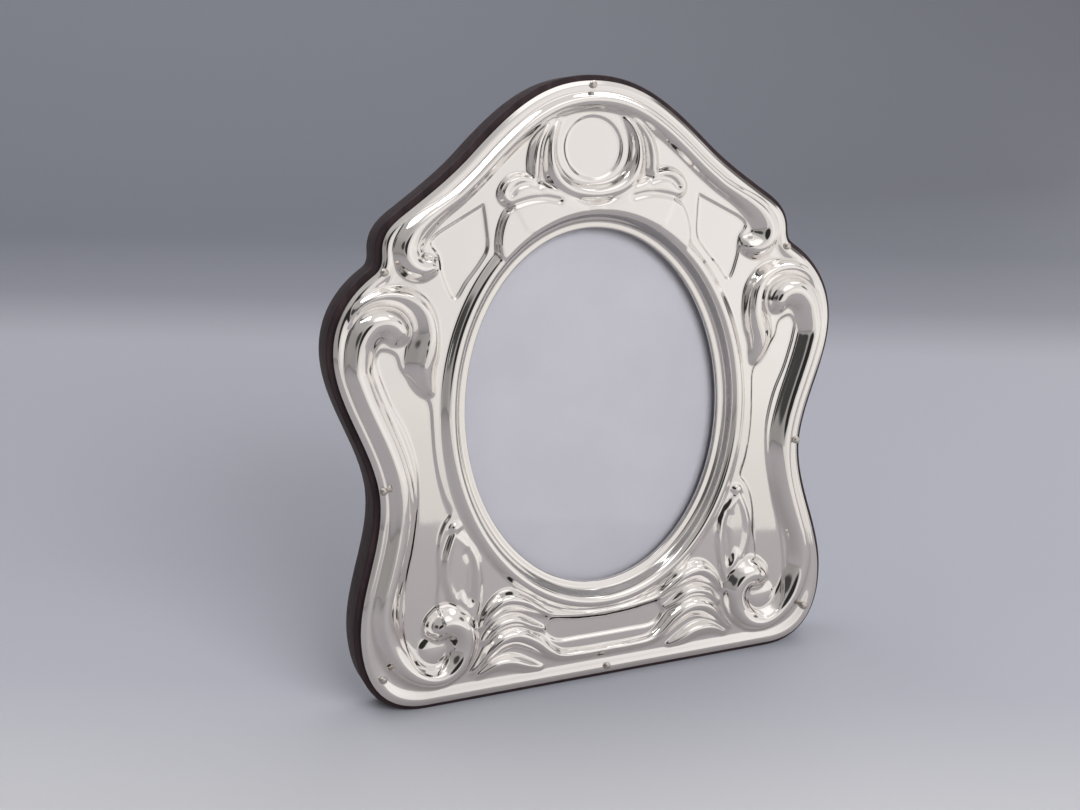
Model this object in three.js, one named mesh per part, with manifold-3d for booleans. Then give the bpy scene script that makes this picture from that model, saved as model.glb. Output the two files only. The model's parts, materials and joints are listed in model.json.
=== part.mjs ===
// Silver picture frame with an oval opening.
// An embossed silver sheet is pinned on a wooden body that holds the glass, the card and the back panel,
// and an easel strut on a brass hinge stands it up.
// Millimetres, +Z up, front towards -Y, standing on Z = 0 with the middle of its box over the origin.

import * as THREE from 'three';
import { mergeVertices } from 'three/addons/utils/BufferGeometryUtils.js';
import Module from 'manifold-3d';

const wasm = await Module();
wasm.setup();

// Stance
const leanDegrees = 8.5;
const strutOpenDegrees = 19;

// Fits
const seatGap = 0.3;
const sideGap = 0.4;

// Sheet outline: half widths from the axis, heights above the bottom pin
const crownHeight = 191.3;
const slopeHalf = 40;
const slopeHeight = 170.2;
const lobeHalf = 62;
const lobeHeight = 153.2;
const notchHalf = 69.6;
const notchHeight = 141.5;
const shoulderTopHalf = 72.5;
const shoulderTopHeight = 135.6;
const shoulderHalf = 86.2;
const shoulderHeight = 111;
const waistHalf = 74.5;
const waistHeight = 65.5;
const footHalf = 83.2;
const footHeight = 22;
const baseHalf = 62;
const baseDrop = 3.4;

// Sheet section: heights above the back of the sheet
const fieldHeight = 1.2;
const flangeHeight = 2.2;
const flangeWidth = 4.6;
const ribRoot = 0.5;

// Oval opening and its bezel
const ovalHalfWidth = 44.1;
const ovalHalfHeight = 59;
const ovalHeight = 85.6;
const rimWall = 0.9;
const rimFlat = 2.2;
const rimRise = 0.8;
const rimStep = 0.6;
const bezelWidth = 10.2;
const bezelHeight = 5.6;

// Mouldings that follow the outline
const topMouldingInset = 7;
const topMouldingHalfWidth = 2.6;
const topMouldingRise = 3.2;
const topCrest = 0.2;
const sideMouldingInset = 9.2;
const sideMouldingHalfWidth = 4.6;
const sideMouldingRise = 4;
const sideCrest = 0.1;

// Crown medallion
const medallionDrop = 21.3;
const medallionRadius = 9.7;
const medallionLineHalf = 0.6;
const medallionLineRise = 0.7;
const crescentRadius = 13.1;
const crescentHalfWidth = 2.8;
const crescentRise = 3.1;
const crescentHornHalf = 0.4;
const crescentHornRise = 0.8;
const crescentHornDegrees = 50;

// Eye of the corner scroll, from the foot
const eyeInset = 22.2;
const eyeDrop = 5.8;
const eyeRadius = 4.2;
const eyeRise = 1;

// Pins
const pinInset = 2.1;
const shoulderPinInset = 2.4;
const cornerPinInset = 4.4;
const pinShankRadius = 0.6;
const pinHeadRadius = 1.5;
const pinHeadRise = 0.9;
const pinDepth = 5;

// Wooden body
const woodMargin = 1;
const woodThickness = 12;
const lipThickness = 3;
const rebateLedge = 4;
const backChamfer = 1.5;
const frontChamfer = 0.5;

// Glass, card, pad and panel
const glassThickness = 2;
const cardThickness = 0.6;
const padThickness = 1.5;

// Turn buttons
const buttonThickness = 1.2;
const buttonLength = 11;
const buttonPivotRadius = 4;
const buttonTipRadius = 2.8;
const buttonPivotOutset = 6;
const buttonAngleDegrees = 48;

// Screws
const screwHeadRadius = 2.3;
const screwHeadDepth = 0.9;
const screwShankRadius = 1.1;
const screwLength = 5;
const buttonHeadRadius = 2.8;
const buttonHeadRise = 1.3;

// Easel hinge
const hingeRebateGap = 2.5;
const hingeWidth = 24;
const leafLength = 17;
const leafThickness = 1;
const knuckleRadius = 1.9;
const knuckleWidth = 8;
const hingePinRadius = 0.9;
const hingePinHeadRadius = 1.6;
const hingePinHeadLength = 0.8;
const tongueLength = 8;
const tongueSideGap = 0.5;
const hingeScrewSpread = 7.6;
const hingeScrewReach = 10;

// Strut
const strutThickness = 5;
const strutTopHalf = 13;
const strutNeckHalf = 11.5;
const strutFootHalf = 22;

const rebateOutset = rimWall + rebateLedge;
const hingeHeight = ovalHeight + ovalHalfHeight + rebateOutset + hingeRebateGap;
const lean = THREE.MathUtils.degToRad(leanDegrees);
const strutOpen = THREE.MathUtils.degToRad(strutOpenDegrees);
const outlineStep = 6.5;
const outlineLeastSteps = 3;
const ovalSegments = 60;
const roundSegments = 12;
const pinSegments = 8;
const ribArcs = 4;
const ribSteps = 1.6;
const medallionStepDegrees = 13;
const cutMargin = 20;

// Solids

function signedVolume(points, faces) {
  const cross = new THREE.Vector3();
  return faces.reduce((sum, [a, b, c]) => (
    sum + points[a].dot(cross.crossVectors(points[b], points[c])) / 6
  ), 0);
}

// A skin from points and faces, turned so that its faces point out.
function skin(points, faces) {
  const outward = signedVolume(points, faces) > 0;
  const geometry = new THREE.BufferGeometry().setFromPoints(points);
  geometry.setIndex(faces.flatMap(([a, b, c]) => (outward ? [a, b, c] : [a, c, b])));
  return geometry;
}

// The same skin with shared vertices and without the empty faces at its poles.
function closed(geometry) {
  const bare = geometry.clone();
  bare.deleteAttribute('normal');
  bare.deleteAttribute('uv');
  const merged = mergeVertices(bare, 1e-4);
  const place = merged.attributes.position;
  const points = Array.from({ length: place.count }, (_, i) => new THREE.Vector3().fromBufferAttribute(place, i));
  const faces = [];
  for (let i = 0; i < merged.index.count; i += 3) {
    const [a, b, c] = [0, 1, 2].map((k) => merged.index.getX(i + k));
    if (a !== b && b !== c && c !== a) {
      faces.push([a, b, c]);
    }
  }
  return skin(points, faces);
}

function solid(geometry) {
  const whole = closed(geometry);
  return new wasm.Manifold(new wasm.Mesh({
    numProp: 3,
    vertProperties: new Float32Array(whole.attributes.position.array),
    triVerts: new Uint32Array(whole.index.array),
  }));
}

function geometryOf(manifold) {
  const { vertProperties, triVerts } = manifold.getMesh();
  const geometry = new THREE.BufferGeometry();
  geometry.setAttribute('position', new THREE.BufferAttribute(new Float32Array(vertProperties), 3));
  geometry.setIndex(new THREE.BufferAttribute(new Uint32Array(triVerts), 1));
  geometry.computeVertexNormals();
  return geometry;
}

// Faces that fill a ring, in the ring's own turning direction.
const fanFaces = (ring) => ring.slice(2).map((_, i) => [0, i + 1, i + 2]);

function plateFaces(ring) {
  const contour = ring.map((p) => new THREE.Vector2(p.x, p.z));
  const turn = Math.sign(THREE.ShapeUtils.area(contour));
  const turnsAlike = ([a, b, c]) => (
    Math.sign(THREE.ShapeUtils.area([contour[a], contour[b], contour[c]])) === turn
  );
  const faces = THREE.ShapeUtils.triangulateShape(contour, []);
  return faces.map((face) => (turnsAlike(face) ? face : [face[0], face[2], face[1]]));
}

// Joins rings of equal point counts into a closed skin, as a loop or with filled ends.
function loft(rings, looped, fillRing = fanFaces) {
  const count = rings[0].length;
  const points = rings.flat();
  const faces = [];
  const spans = looped ? rings.length : rings.length - 1;
  for (let i = 0; i < spans; i += 1) {
    const here = i * count;
    const there = ((i + 1) % rings.length) * count;
    for (let k = 0; k < count; k += 1) {
      const next = (k + 1) % count;
      faces.push([here + k, there + k, there + next], [here + k, there + next, here + next]);
    }
  }
  if (!looped) {
    const last = (rings.length - 1) * count;
    faces.push(...fillRing(rings[0]));
    faces.push(...fillRing(rings.at(-1)).map(([a, b, c]) => [last + a, last + c, last + b]));
  }
  return skin(points, faces);
}

// A flat plate of an outline in the front plane, from one depth to a deeper one.
function plate(shape, front, back, segments = roundSegments) {
  const geometry = new THREE.ExtrudeGeometry(shape, {
    depth: back - front,
    bevelEnabled: false,
    curveSegments: segments,
  });
  return geometry.rotateX(Math.PI / 2).translate(0, back, 0);
}

function ovalPlate(outset, front, back) {
  const shape = new THREE.Shape();
  shape.absellipse(0, ovalHeight, ovalHalfWidth + outset, ovalHalfHeight + outset, 0, Math.PI * 2);
  return plate(shape, front, back, ovalSegments / 2);
}

// A turned piece on an axis along Y: its profile runs as [radius, depth].
function turned(profile, segments) {
  const points = profile.map(([radius, depth]) => new THREE.Vector2(radius, depth));
  return closed(new THREE.LatheGeometry(points, segments));
}

const rod = (radius, front, back, segments) => turned(
  [[0, front], [radius, front], [radius, back], [0, back]],
  segments,
);

const roll = (radius, left, right) => rod(radius, left, right, roundSegments).rotateZ(-Math.PI / 2);

const block = (x0, x1, y0, y1, z0, z1) => new THREE.BoxGeometry(x1 - x0, y1 - y0, z1 - z0)
  .translate((x0 + x1) / 2, (y0 + y1) / 2, (z0 + z1) / 2);

// Sheet outline, right half, from the crown down to the base

const spot = (x, z) => new THREE.Vector2(x, z);
const bezier = (a, b, c, d) => new THREE.CubicBezierCurve(a, b, c, d);
const between = (a, b, share) => a + (b - a) * share;

const crown = spot(0, crownHeight);
const slope = spot(slopeHalf, slopeHeight);
const lobe = spot(lobeHalf, lobeHeight);
const notch = spot(notchHalf, notchHeight);
const shoulderTop = spot(shoulderTopHalf, shoulderTopHeight);
const shoulder = spot(shoulderHalf, shoulderHeight);
const waist = spot(waistHalf, waistHeight);
const foot = spot(footHalf, footHeight);
const base = spot(baseHalf, -baseDrop);

// A curve that leaves one vertical tangent and arrives on another.
const sway = (from, to) => bezier(
  from,
  spot(from.x, between(from.y, to.y, 0.34)),
  spot(to.x, between(to.y, from.y, 0.34)),
  to,
);

const slopeRun = slope.clone().sub(spot(slopeHalf * 0.66, between(slopeHeight, crownHeight, 0.62)));
const crownCurve = bezier(crown, spot(slopeHalf * 0.4, crownHeight), slope.clone().sub(slopeRun), slope);
const lowerSlope = bezier(
  slope,
  slope.clone().addScaledVector(slopeRun, 0.5),
  spot(between(slopeHalf, lobeHalf, 0.62), between(slopeHeight, lobeHeight, 0.66)),
  lobe,
);
const lobeCurve = bezier(
  lobe,
  spot(between(lobeHalf, notchHalf, 0.66), between(lobeHeight, notchHeight, 0.29)),
  spot(notchHalf, between(notchHeight, lobeHeight, 0.45)),
  notch,
);
const notchCurve = bezier(
  notch,
  spot(notchHalf, between(notchHeight, shoulderTopHeight, 0.6)),
  spot(between(notchHalf, shoulderTopHalf, 0.4), between(notchHeight, shoulderTopHeight, 0.8)),
  shoulderTop,
);
const shoulderCurve = bezier(
  shoulderTop,
  spot(between(shoulderTopHalf, shoulderHalf, 0.55), between(shoulderTopHeight, shoulderHeight, 0.21)),
  spot(shoulderHalf, between(shoulderHeight, shoulderTopHeight, 0.47)),
  shoulder,
);
const waistCurve = sway(shoulder, waist);
const footCurve = sway(waist, foot);
const cornerCurve = bezier(
  foot,
  spot(footHalf, between(footHeight, -baseDrop, 0.6)),
  spot(between(baseHalf, footHalf, 0.7), -baseDrop),
  base,
);
const sideCurves = [
  crownCurve,
  lowerSlope,
  lobeCurve,
  notchCurve,
  shoulderCurve,
  waistCurve,
  footCurve,
  cornerCurve,
];

// The point of a curve moved straight in from the outline.
function inset(curve, t, distance) {
  const tangent = curve.getTangent(t);
  return curve.getPoint(t).add(spot(tangent.y, -tangent.x).multiplyScalar(distance));
}

// Points along several curves, each inset by the same distance.
function insetRun(curves, distance) {
  const run = [inset(curves[0], 0, distance)];
  for (const curve of curves) {
    const steps = Math.max(Math.round(curve.getLength() / outlineStep), outlineLeastSteps);
    for (let k = 1; k <= steps; k += 1) {
      run.push(inset(curve, k / steps, distance));
    }
  }
  return run;
}

// The whole outline as one loop, inset by a distance (outset where it is negative).
function outlineLoop(distance) {
  const right = insetRun(sideCurves, distance);
  const left = right.slice(1).reverse().map((p) => spot(-p.x, p.y));
  return [...right, ...left];
}

const atDepth = (loop, depth) => loop.map((p) => new THREE.Vector3(p.x, depth, p.y));

// The way out from the oval at a turn, and the place that lies that way by a distance.
const ovalOut = (turn) => spot(Math.cos(turn) * ovalHalfHeight, Math.sin(turn) * ovalHalfWidth).normalize();

const ovalSpot = (turn, outset) => spot(Math.cos(turn) * ovalHalfWidth, Math.sin(turn) * ovalHalfHeight)
  .add(spot(0, ovalHeight))
  .addScaledVector(ovalOut(turn), outset);

function ovalLoop(outset, depth) {
  const turns = Array.from({ length: ovalSegments }, (_, k) => (k / ovalSegments) * Math.PI * 2);
  return atDepth(turns.map((turn) => ovalSpot(turn, outset)), depth);
}

// Depths in the leaning frame: the front of the wood is 0, the back is positive
const sheetBack = -seatGap;
const glassFront = lipThickness + seatGap;
const cardFront = glassFront + glassThickness + seatGap;
const padFront = cardFront + cardThickness + seatGap;
const panelFront = padFront + padThickness + seatGap;
const panelBack = woodThickness - seatGap;
const onSheet = (height) => sheetBack - height;

// Silver sheet

// A rounded rib along stations of [x, z, half width, rise].
// Its crest lies at a share of the half width to the left of the run.
function rib(stations, crest) {
  const sections = stations.map(([x, z, halfWidth, rise], i) => {
    const before = stations[Math.max(i - 1, 0)];
    const after = stations[Math.min(i + 1, stations.length - 1)];
    const left = spot(before[1] - after[1], after[0] - before[0]).normalize();
    const profile = [[-halfWidth, ribRoot]];
    for (let k = 0; k <= ribArcs; k += 1) {
      const turn = (Math.PI * k) / ribArcs;
      const offset = (crest * Math.sin(turn) - Math.cos(turn)) * halfWidth;
      profile.push([offset, fieldHeight + Math.sin(turn) * rise]);
    }
    profile.push([halfWidth, ribRoot]);
    return profile.map(([offset, height]) => new THREE.Vector3(
      x + left.x * offset,
      onSheet(height),
      z + left.y * offset,
    ));
  });
  return solid(loft(sections, false));
}

// Stations at even steps on a smooth run through control stations.
function smoothStations(controls) {
  const path = new THREE.CatmullRomCurve3(controls.map(([x, z]) => new THREE.Vector3(x, z, 0)));
  const size = new THREE.CatmullRomCurve3(controls.map(([, , w, h]) => new THREE.Vector3(w, h, 0)));
  const steps = Math.ceil((controls.length - 1) * ribSteps);
  return Array.from({ length: steps + 1 }, (_, k) => {
    const place = path.getPoint(k / steps);
    const girth = size.getPoint(k / steps);
    return [place.x, place.y, girth.x, girth.y];
  });
}

const about = (anchor, controls) => controls.map(([x, z, ...girth]) => [anchor.x + x, anchor.y + z, ...girth]);
const mirrored = (stations) => stations.map(([x, ...rest]) => [-x, ...rest]);

// A run of the right side that goes on through the middle to its mirror image, from left to right.
const throughMiddle = (fromMiddle) => [...mirrored(fromMiddle.slice(1)).reverse(), ...fromMiddle];

// Ornaments of the right side, as control stations of [x, z, half width, rise] from their anchor.
const medallion = spot(0, crownHeight - medallionDrop);

// from the notch: curl at the end of the top moulding
const curl = [[-19.6, 12.1, 3, 3.4], [-15, 8.9, 3.5, 3.6], [-11, 5.4, 4, 3.9], [-8.6, 1.1, 4.3, 4.1],
  [-9.4, -2.7, 4, 4.1], [-12.2, -4.7, 3.4, 3.7], [-15.1, -4.6, 2.6, 3]];

// from the shoulder: volute at the top of the side moulding, and the frond that sweeps over it
const volute = [[-21.2, 6.4, 1.6, 2.6], [-22.2, 9.2, 2.4, 3.5], [-19.8, 11.7, 3.2, 4.1], [-15.8, 11.6, 4, 4.2],
  [-12, 8, 4.5, 4.1], [-9.8, 2.4, 4.6, 4]];
const shoulderFrond = [[-6.6, 8.5, 1, 1.4], [-8.2, 12.6, 1.6, 2.2], [-11.2, 16.4, 2.2, 2.9], [-16.4, 19.4, 2.9, 3.6],
  [-22.6, 20, 3.6, 4.1], [-27.4, 17.8, 4.4, 4.4], [-30, 13.4, 5.2, 4.6], [-30.6, 7.4, 5.6, 4.5],
  [-29.8, 1.2, 5, 4.1], [-29, -4, 4.3, 3.5], [-28.5, -7.8, 3.3, 2.7], [-28.4, -10, 2.2, 1.8]];

// from the foot: scroll at the bottom of the side moulding, and the bud and its wedge beside the bezel
const scroll = [[-9.6, 6, 4.5, 4], [-10.2, -1, 4.3, 4], [-12.2, -7.4, 4.2, 4.1], [-16.6, -13.1, 4.2, 4.2],
  [-22.6, -15.4, 4.2, 4.3], [-28.6, -13.8, 4.1, 4.3], [-32.6, -9.2, 4, 4.3], [-33.2, -3.4, 3.8, 4.5],
  [-30.8, 1.6, 3.4, 4.7], [-26.6, 3.4, 2.8, 4.2], [-23.2, 1.6, 1.8, 2.6]];
const bud = [[-36.4, 0, 0.8, 0.8], [-36, 5, 4.2, 1.5], [-35, 11, 6.6, 2], [-34.4, 17, 7.2, 2.1],
  [-33.6, 23, 5.6, 2], [-33, 28, 3, 1.6], [-32.6, 32, 0.5, 0.9]];
const budWedge = [[-37, 1.5, 1.2, 2.2], [-35.6, 6.6, 2, 3.1], [-33.6, 11.6, 0.5, 2.4]];

// from the foot: fronds that run in along the base, two of them on to the middle
const upperFrond = [[-63.7, -1, 1.5, 1.9], [-59.4, 1.4, 2.2, 2.5], [-54.6, 4.8, 3.2, 3.1], [-49, 6.8, 3.6, 3.3],
  [-44.2, 4.6, 3, 2.8], [-40.6, 0, 1.6, 1.8]];
const upperBar = [0, -3.5, 1.1, 1.5];
const lowerFrond = [[-66.9, -16.1, 1.9, 2.3], [-62.4, -13.8, 2.4, 2.7], [-57.6, -9.7, 3.2, 3.2],
  [-52, -6.2, 3.8, 3.6], [-46.8, -6.6, 3.6, 3.4], [-43, -9.4, 2.8, 2.8], [-39.6, -13, 1.6, 1.8],
  [-35.2, -17, 0.8, 1]];
const lowerBar = [0, -16.4, 1.8, 2.1];
const middleFrond = [[-60.6, -6.6, 0.7, 0.9], [-56.8, -4.6, 1.8, 1.8], [-51.8, -1.4, 2.5, 2.4],
  [-46.8, -0.4, 2.4, 2.4], [-42.2, -3.2, 1.4, 1.6]];
const lowestFrond = [[-59.7, -19.1, 1, 1], [-55.2, -17.6, 2.2, 2.1], [-50.2, -15.2, 2.8, 2.5],
  [-44.8, -14.8, 2.4, 2.2], [-38.7, -17.4, 1, 1]];

// from the medallion: leaf beside the crescent, and its two lobes above the bezel
const crownLeaf = [[10.5, 11, 0.6, 1], [15.5, 7, 1.6, 2.2], [18.5, 2.5, 2.4, 2.8], [19.4, -3, 2.8, 2.8],
  [19.6, -8.5, 2.6, 2.2]];
const upperLobe = [[13, -14.4, 2.2, 1.6], [17.6, -12, 3.4, 2.8], [22.2, -11.4, 3.6, 3.2], [25.8, -13, 3, 2.9],
  [27.6, -15.8, 1.8, 2.1]];
const lowerLobe = [[18, -17.6, 2, 1.6], [23.4, -18.2, 3, 2.6], [27, -21, 3, 2.8], [28.6, -25, 2.6, 2.4],
  [29, -29, 1.6, 1.6]];

// Ornaments that stand on each side: anchor, controls and crest.
const sideOrnaments = [
  [shoulder, shoulderFrond, -0.25],
  [foot, bud, 0],
  [foot, budWedge, 0],
  [foot, middleFrond, 0.5],
  [foot, lowestFrond, 0.4],
  [medallion, crownLeaf, 0.1],
  [medallion, upperLobe, 0.4],
  [medallion, lowerLobe, 0.4],
];

// Fronds that go on through the middle: right side, place of the middle and crest.
const middleOrnaments = [
  [upperFrond, upperBar, 0.5],
  [lowerFrond, lowerBar, 0.45],
];

function topMoulding() {
  const ends = about(notch, curl);
  const along = insetRun([crownCurve, lowerSlope], topMouldingInset)
    .filter((p) => p.x < ends[0][0] - outlineStep / 2)
    .map((p) => [p.x, p.y, topMouldingHalfWidth, topMouldingRise]);
  return rib(smoothStations(throughMiddle([...along, ...ends])), topCrest);
}

function sideMoulding() {
  const upper = about(shoulder, volute);
  const lower = about(foot, scroll);
  const top = upper.at(-1)[1] - outlineStep / 2;
  const bottom = lower[0][1] + outlineStep / 2;
  const along = insetRun([waistCurve, footCurve], sideMouldingInset)
    .filter((p) => p.y < top && p.y > bottom)
    .map((p) => [p.x, p.y, sideMouldingHalfWidth, sideMouldingRise]);
  return smoothStations([...upper, ...along, ...lower]);
}

// An arc of a rib around the medallion, with its girth over the share of the way.
function aroundMedallion(radius, fromDegrees, toDegrees, girth) {
  const steps = Math.ceil(Math.abs(toDegrees - fromDegrees) / medallionStepDegrees);
  const stations = Array.from({ length: steps + 1 }, (_, k) => {
    const turn = THREE.MathUtils.degToRad(between(fromDegrees, toDegrees, k / steps));
    return [medallion.x + Math.cos(turn) * radius, medallion.y + Math.sin(turn) * radius, ...girth(k / steps)];
  });
  return rib(stations, 0);
}

function medallionRing() {
  const swell = (share) => Math.sqrt(Math.sin(Math.PI * share));
  const crescentGirth = (share) => [
    between(crescentHornHalf, crescentHalfWidth, swell(share)),
    between(crescentHornRise, crescentRise, swell(share)),
  ];
  const lineGirth = () => [medallionLineHalf, medallionLineRise];
  return [
    aroundMedallion(crescentRadius, crescentHornDegrees, -180 - crescentHornDegrees, crescentGirth),
    aroundMedallion(medallionRadius, -10, 190, lineGirth),
    aroundMedallion(medallionRadius, 170, 370, lineGirth),
  ];
}

function scrollEye(side) {
  const boss = turned([
    [0, sheetBack],
    [eyeRadius, sheetBack],
    [eyeRadius, onSheet(fieldHeight)],
    [eyeRadius * 0.7, onSheet(fieldHeight + eyeRise * 0.7)],
    [0, onSheet(fieldHeight + eyeRise)],
  ], roundSegments);
  return solid(boss.translate(side * (foot.x - eyeInset), 0, foot.y - eyeDrop));
}

function ornaments() {
  const sideRun = sideMoulding();
  const pairs = sideOrnaments.map(([anchor, controls, crest]) => [smoothStations(about(anchor, controls)), crest]);
  const bars = middleOrnaments.map(([frond, [x, z, ...girth], crest]) => {
    const fromMiddle = [[x, foot.y + z, ...girth], ...about(foot, frond)];
    return rib(smoothStations(throughMiddle(fromMiddle)), crest);
  });
  return [
    topMoulding(),
    ...medallionRing(),
    ...bars,
    ...[[sideRun, sideCrest], ...pairs].flatMap(([stations, crest]) => [
      rib(stations, crest),
      rib(mirrored(stations), -crest),
    ]),
    scrollEye(1),
    scrollEye(-1),
  ];
}

// Rolled edge: rings inset from the outline, as [inset, height].
function flange() {
  const section = [
    [0, 0],
    [0, flangeHeight * 0.45],
    [flangeWidth * 0.12, flangeHeight * 0.8],
    [flangeWidth * 0.3, flangeHeight],
    [flangeWidth * 0.74, flangeHeight],
    [flangeWidth, fieldHeight],
    [flangeWidth, 0],
  ];
  return solid(loft(section.map(([distance, height]) => atDepth(outlineLoop(distance), onSheet(height))), true));
}

// Bezel: rings set out from the opening, as [outset, height]; its rim reaches back to the glass.
function bezel() {
  const rimEnd = sheetBack - lipThickness;
  const rimHeight = fieldHeight + rimRise;
  const slopeStart = rimFlat + rimRise;
  const swellWidth = bezelWidth - slopeStart;
  const section = [
    [0, rimEnd],
    [0, fieldHeight],
    [rimFlat * 0.45, rimHeight],
    [rimFlat, rimHeight],
    [slopeStart, rimHeight + rimStep],
    [slopeStart + swellWidth * 0.22, bezelHeight * 0.83],
    [slopeStart + swellWidth * 0.5, bezelHeight],
    [slopeStart + swellWidth * 0.78, bezelHeight * 0.83],
    [slopeStart + swellWidth * 0.95, bezelHeight * 0.5],
    [bezelWidth, fieldHeight],
    [bezelWidth, 0],
    [rimWall, 0],
    [rimWall, rimEnd],
  ];
  return solid(loft(section.map(([outset, height]) => ovalLoop(outset, onSheet(height))), true));
}

// Pins through the rolled edge: name and place in the front plane.
const pinPlaces = [['nail_top', inset(crownCurve, 0, pinInset)], ['nail_bottom', spot(0, 0)]];
for (const [name, curve, t, distance] of [
  ['nail_shoulder', notchCurve, 0.57, shoulderPinInset],
  ['nail_waist', waistCurve, 0.92, pinInset],
  ['nail_corner', cornerCurve, 0.39, cornerPinInset],
]) {
  const place = inset(curve, t, distance);
  pinPlaces.push([`${name}_left`, spot(-place.x, place.y)], [`${name}_right`, place]);
}

const pinHole = (place) => solid(
  rod(pinShankRadius + seatGap, onSheet(flangeHeight) - seatGap, pinDepth + seatGap, pinSegments)
    .translate(place.x, 0, place.y),
);

// Clears the ornament around a pin's head, down to the top of the rolled edge.
const pinSeat = (place) => solid(
  rod(pinHeadRadius + seatGap, onSheet(flangeHeight) - cutMargin, onSheet(flangeHeight), pinSegments)
    .translate(place.x, 0, place.y),
);

function silverFront() {
  const outline = new THREE.Shape(outlineLoop(flangeWidth * 0.5));
  const field = solid(plate(outline, onSheet(fieldHeight), sheetBack));
  const raised = [field, ...ornaments()];
  const inside = solid(plate(outline, onSheet(bezelHeight + cutMargin), sheetBack));
  const opening = solid(ovalPlate(0.5 * rimWall, onSheet(bezelHeight + cutMargin), lipThickness + cutMargin));
  const pressed = wasm.Manifold.union(raised).intersect(inside).subtract(opening);
  const sheet = wasm.Manifold.union([pressed, flange(), bezel()]);
  const holes = wasm.Manifold.union(pinPlaces.flatMap(([, place]) => [pinHole(place), pinSeat(place)]));
  return geometryOf(sheet.subtract(holes));
}

function pin() {
  const headSeat = onSheet(flangeHeight) - seatGap;
  return turned([
    [0, pinDepth],
    [pinShankRadius * 0.4, pinDepth - pinShankRadius],
    [pinShankRadius, pinDepth - 3 * pinShankRadius],
    [pinShankRadius, headSeat],
    [pinHeadRadius, headSeat],
    [pinHeadRadius * 0.8, headSeat - pinHeadRise * 0.65],
    [0, headSeat - pinHeadRise],
  ], pinSegments);
}

// Leaning frame, and the easel that turns on the hinge pin behind it

const hingeAxisDepth = woodThickness + seatGap + knuckleRadius;
const leaningFrame = new THREE.Group();
leaningFrame.rotation.x = -lean;
leaningFrame.position.z = (baseDrop + woodMargin) * Math.cos(lean);
const easel = new THREE.Group();
easel.position.set(0, hingeAxisDepth, hingeHeight);
easel.rotation.x = strutOpen;
leaningFrame.add(easel);
leaningFrame.updateMatrixWorld(true);

// The ground that the frame stands on, as a group sees it.
function groundSeenFrom(group) {
  const reach = 2 * crownHeight;
  const ground = block(-reach, reach, -reach, reach, -reach, 0);
  return solid(ground.applyMatrix4(group.matrixWorld.clone().invert()));
}

// Screws

// A countersunk screw from its top at a depth, driven forwards (-1) or backwards (1), grown for its hole.
const sunkScrew = (top, way, grow) => turned([
  [0, top - way * grow],
  [screwHeadRadius + grow, top - way * grow],
  [screwHeadRadius + grow, top],
  [screwShankRadius + grow, top + way * screwHeadDepth],
  [screwShankRadius + grow, top + way * (screwLength + grow)],
  [0, top + way * (screwLength + grow)],
], roundSegments);

const leafFront = -knuckleRadius;
const leafBack = leafFront + leafThickness;
const hingeScrewSides = [['left', -hingeScrewSpread], ['right', hingeScrewSpread]];
const bodyScrew = (x, grow) => sunkScrew(leafBack, -1, grow).translate(x, 0, hingeScrewReach);
const strutScrew = (x, grow) => sunkScrew(leafFront, 1, grow).translate(x, 0, -hingeScrewReach);
const screwHoles = (screw) => wasm.Manifold.union(hingeScrewSides.map(([, x]) => solid(screw(x, seatGap))));

// Turn buttons around the panel

const buttonTurn = THREE.MathUtils.degToRad(buttonAngleDegrees);
const buttonPlaces = [
  ['upper_right', buttonTurn],
  ['upper_left', Math.PI - buttonTurn],
  ['lower_left', Math.PI + buttonTurn],
  ['lower_right', -buttonTurn],
].map(([name, turn]) => ({
  name,
  pivot: ovalSpot(turn, rebateOutset + buttonPivotOutset),
  inward: ovalOut(turn).negate(),
}));
const buttonFront = woodThickness + seatGap;
const buttonBack = buttonFront + buttonThickness;

function turnButton() {
  const shape = new THREE.Shape();
  shape.absarc(0, 0, buttonPivotRadius, Math.PI, Math.PI * 2);
  shape.absarc(0, buttonLength, buttonTipRadius, 0, Math.PI);
  const hole = new THREE.Path();
  hole.absarc(0, 0, screwShankRadius + seatGap, 0, Math.PI * 2);
  shape.holes.push(hole);
  return plate(shape, buttonFront, buttonBack, roundSegments / 2);
}

function buttonScrew() {
  const headSeat = buttonBack + seatGap;
  const tip = woodThickness - screwLength;
  return turned([
    [0, tip],
    [screwShankRadius * 0.4, tip + screwShankRadius * 0.5],
    [screwShankRadius, tip + screwShankRadius * 2],
    [screwShankRadius, headSeat],
    [buttonHeadRadius, headSeat],
    [buttonHeadRadius * 0.8, headSeat + buttonHeadRise * 0.65],
    [buttonHeadRadius * 0.3, headSeat + buttonHeadRise],
    [0, headSeat + buttonHeadRise],
  ], roundSegments);
}

const buttonScrewHole = ({ pivot }) => solid(
  rod(screwShankRadius + seatGap, woodThickness - screwLength - seatGap, woodThickness + cutMargin, roundSegments)
    .translate(pivot.x, 0, pivot.y),
);

// Wooden body: the outline as a block, cut for the opening, the rebate, the fasteners and the ground

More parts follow.
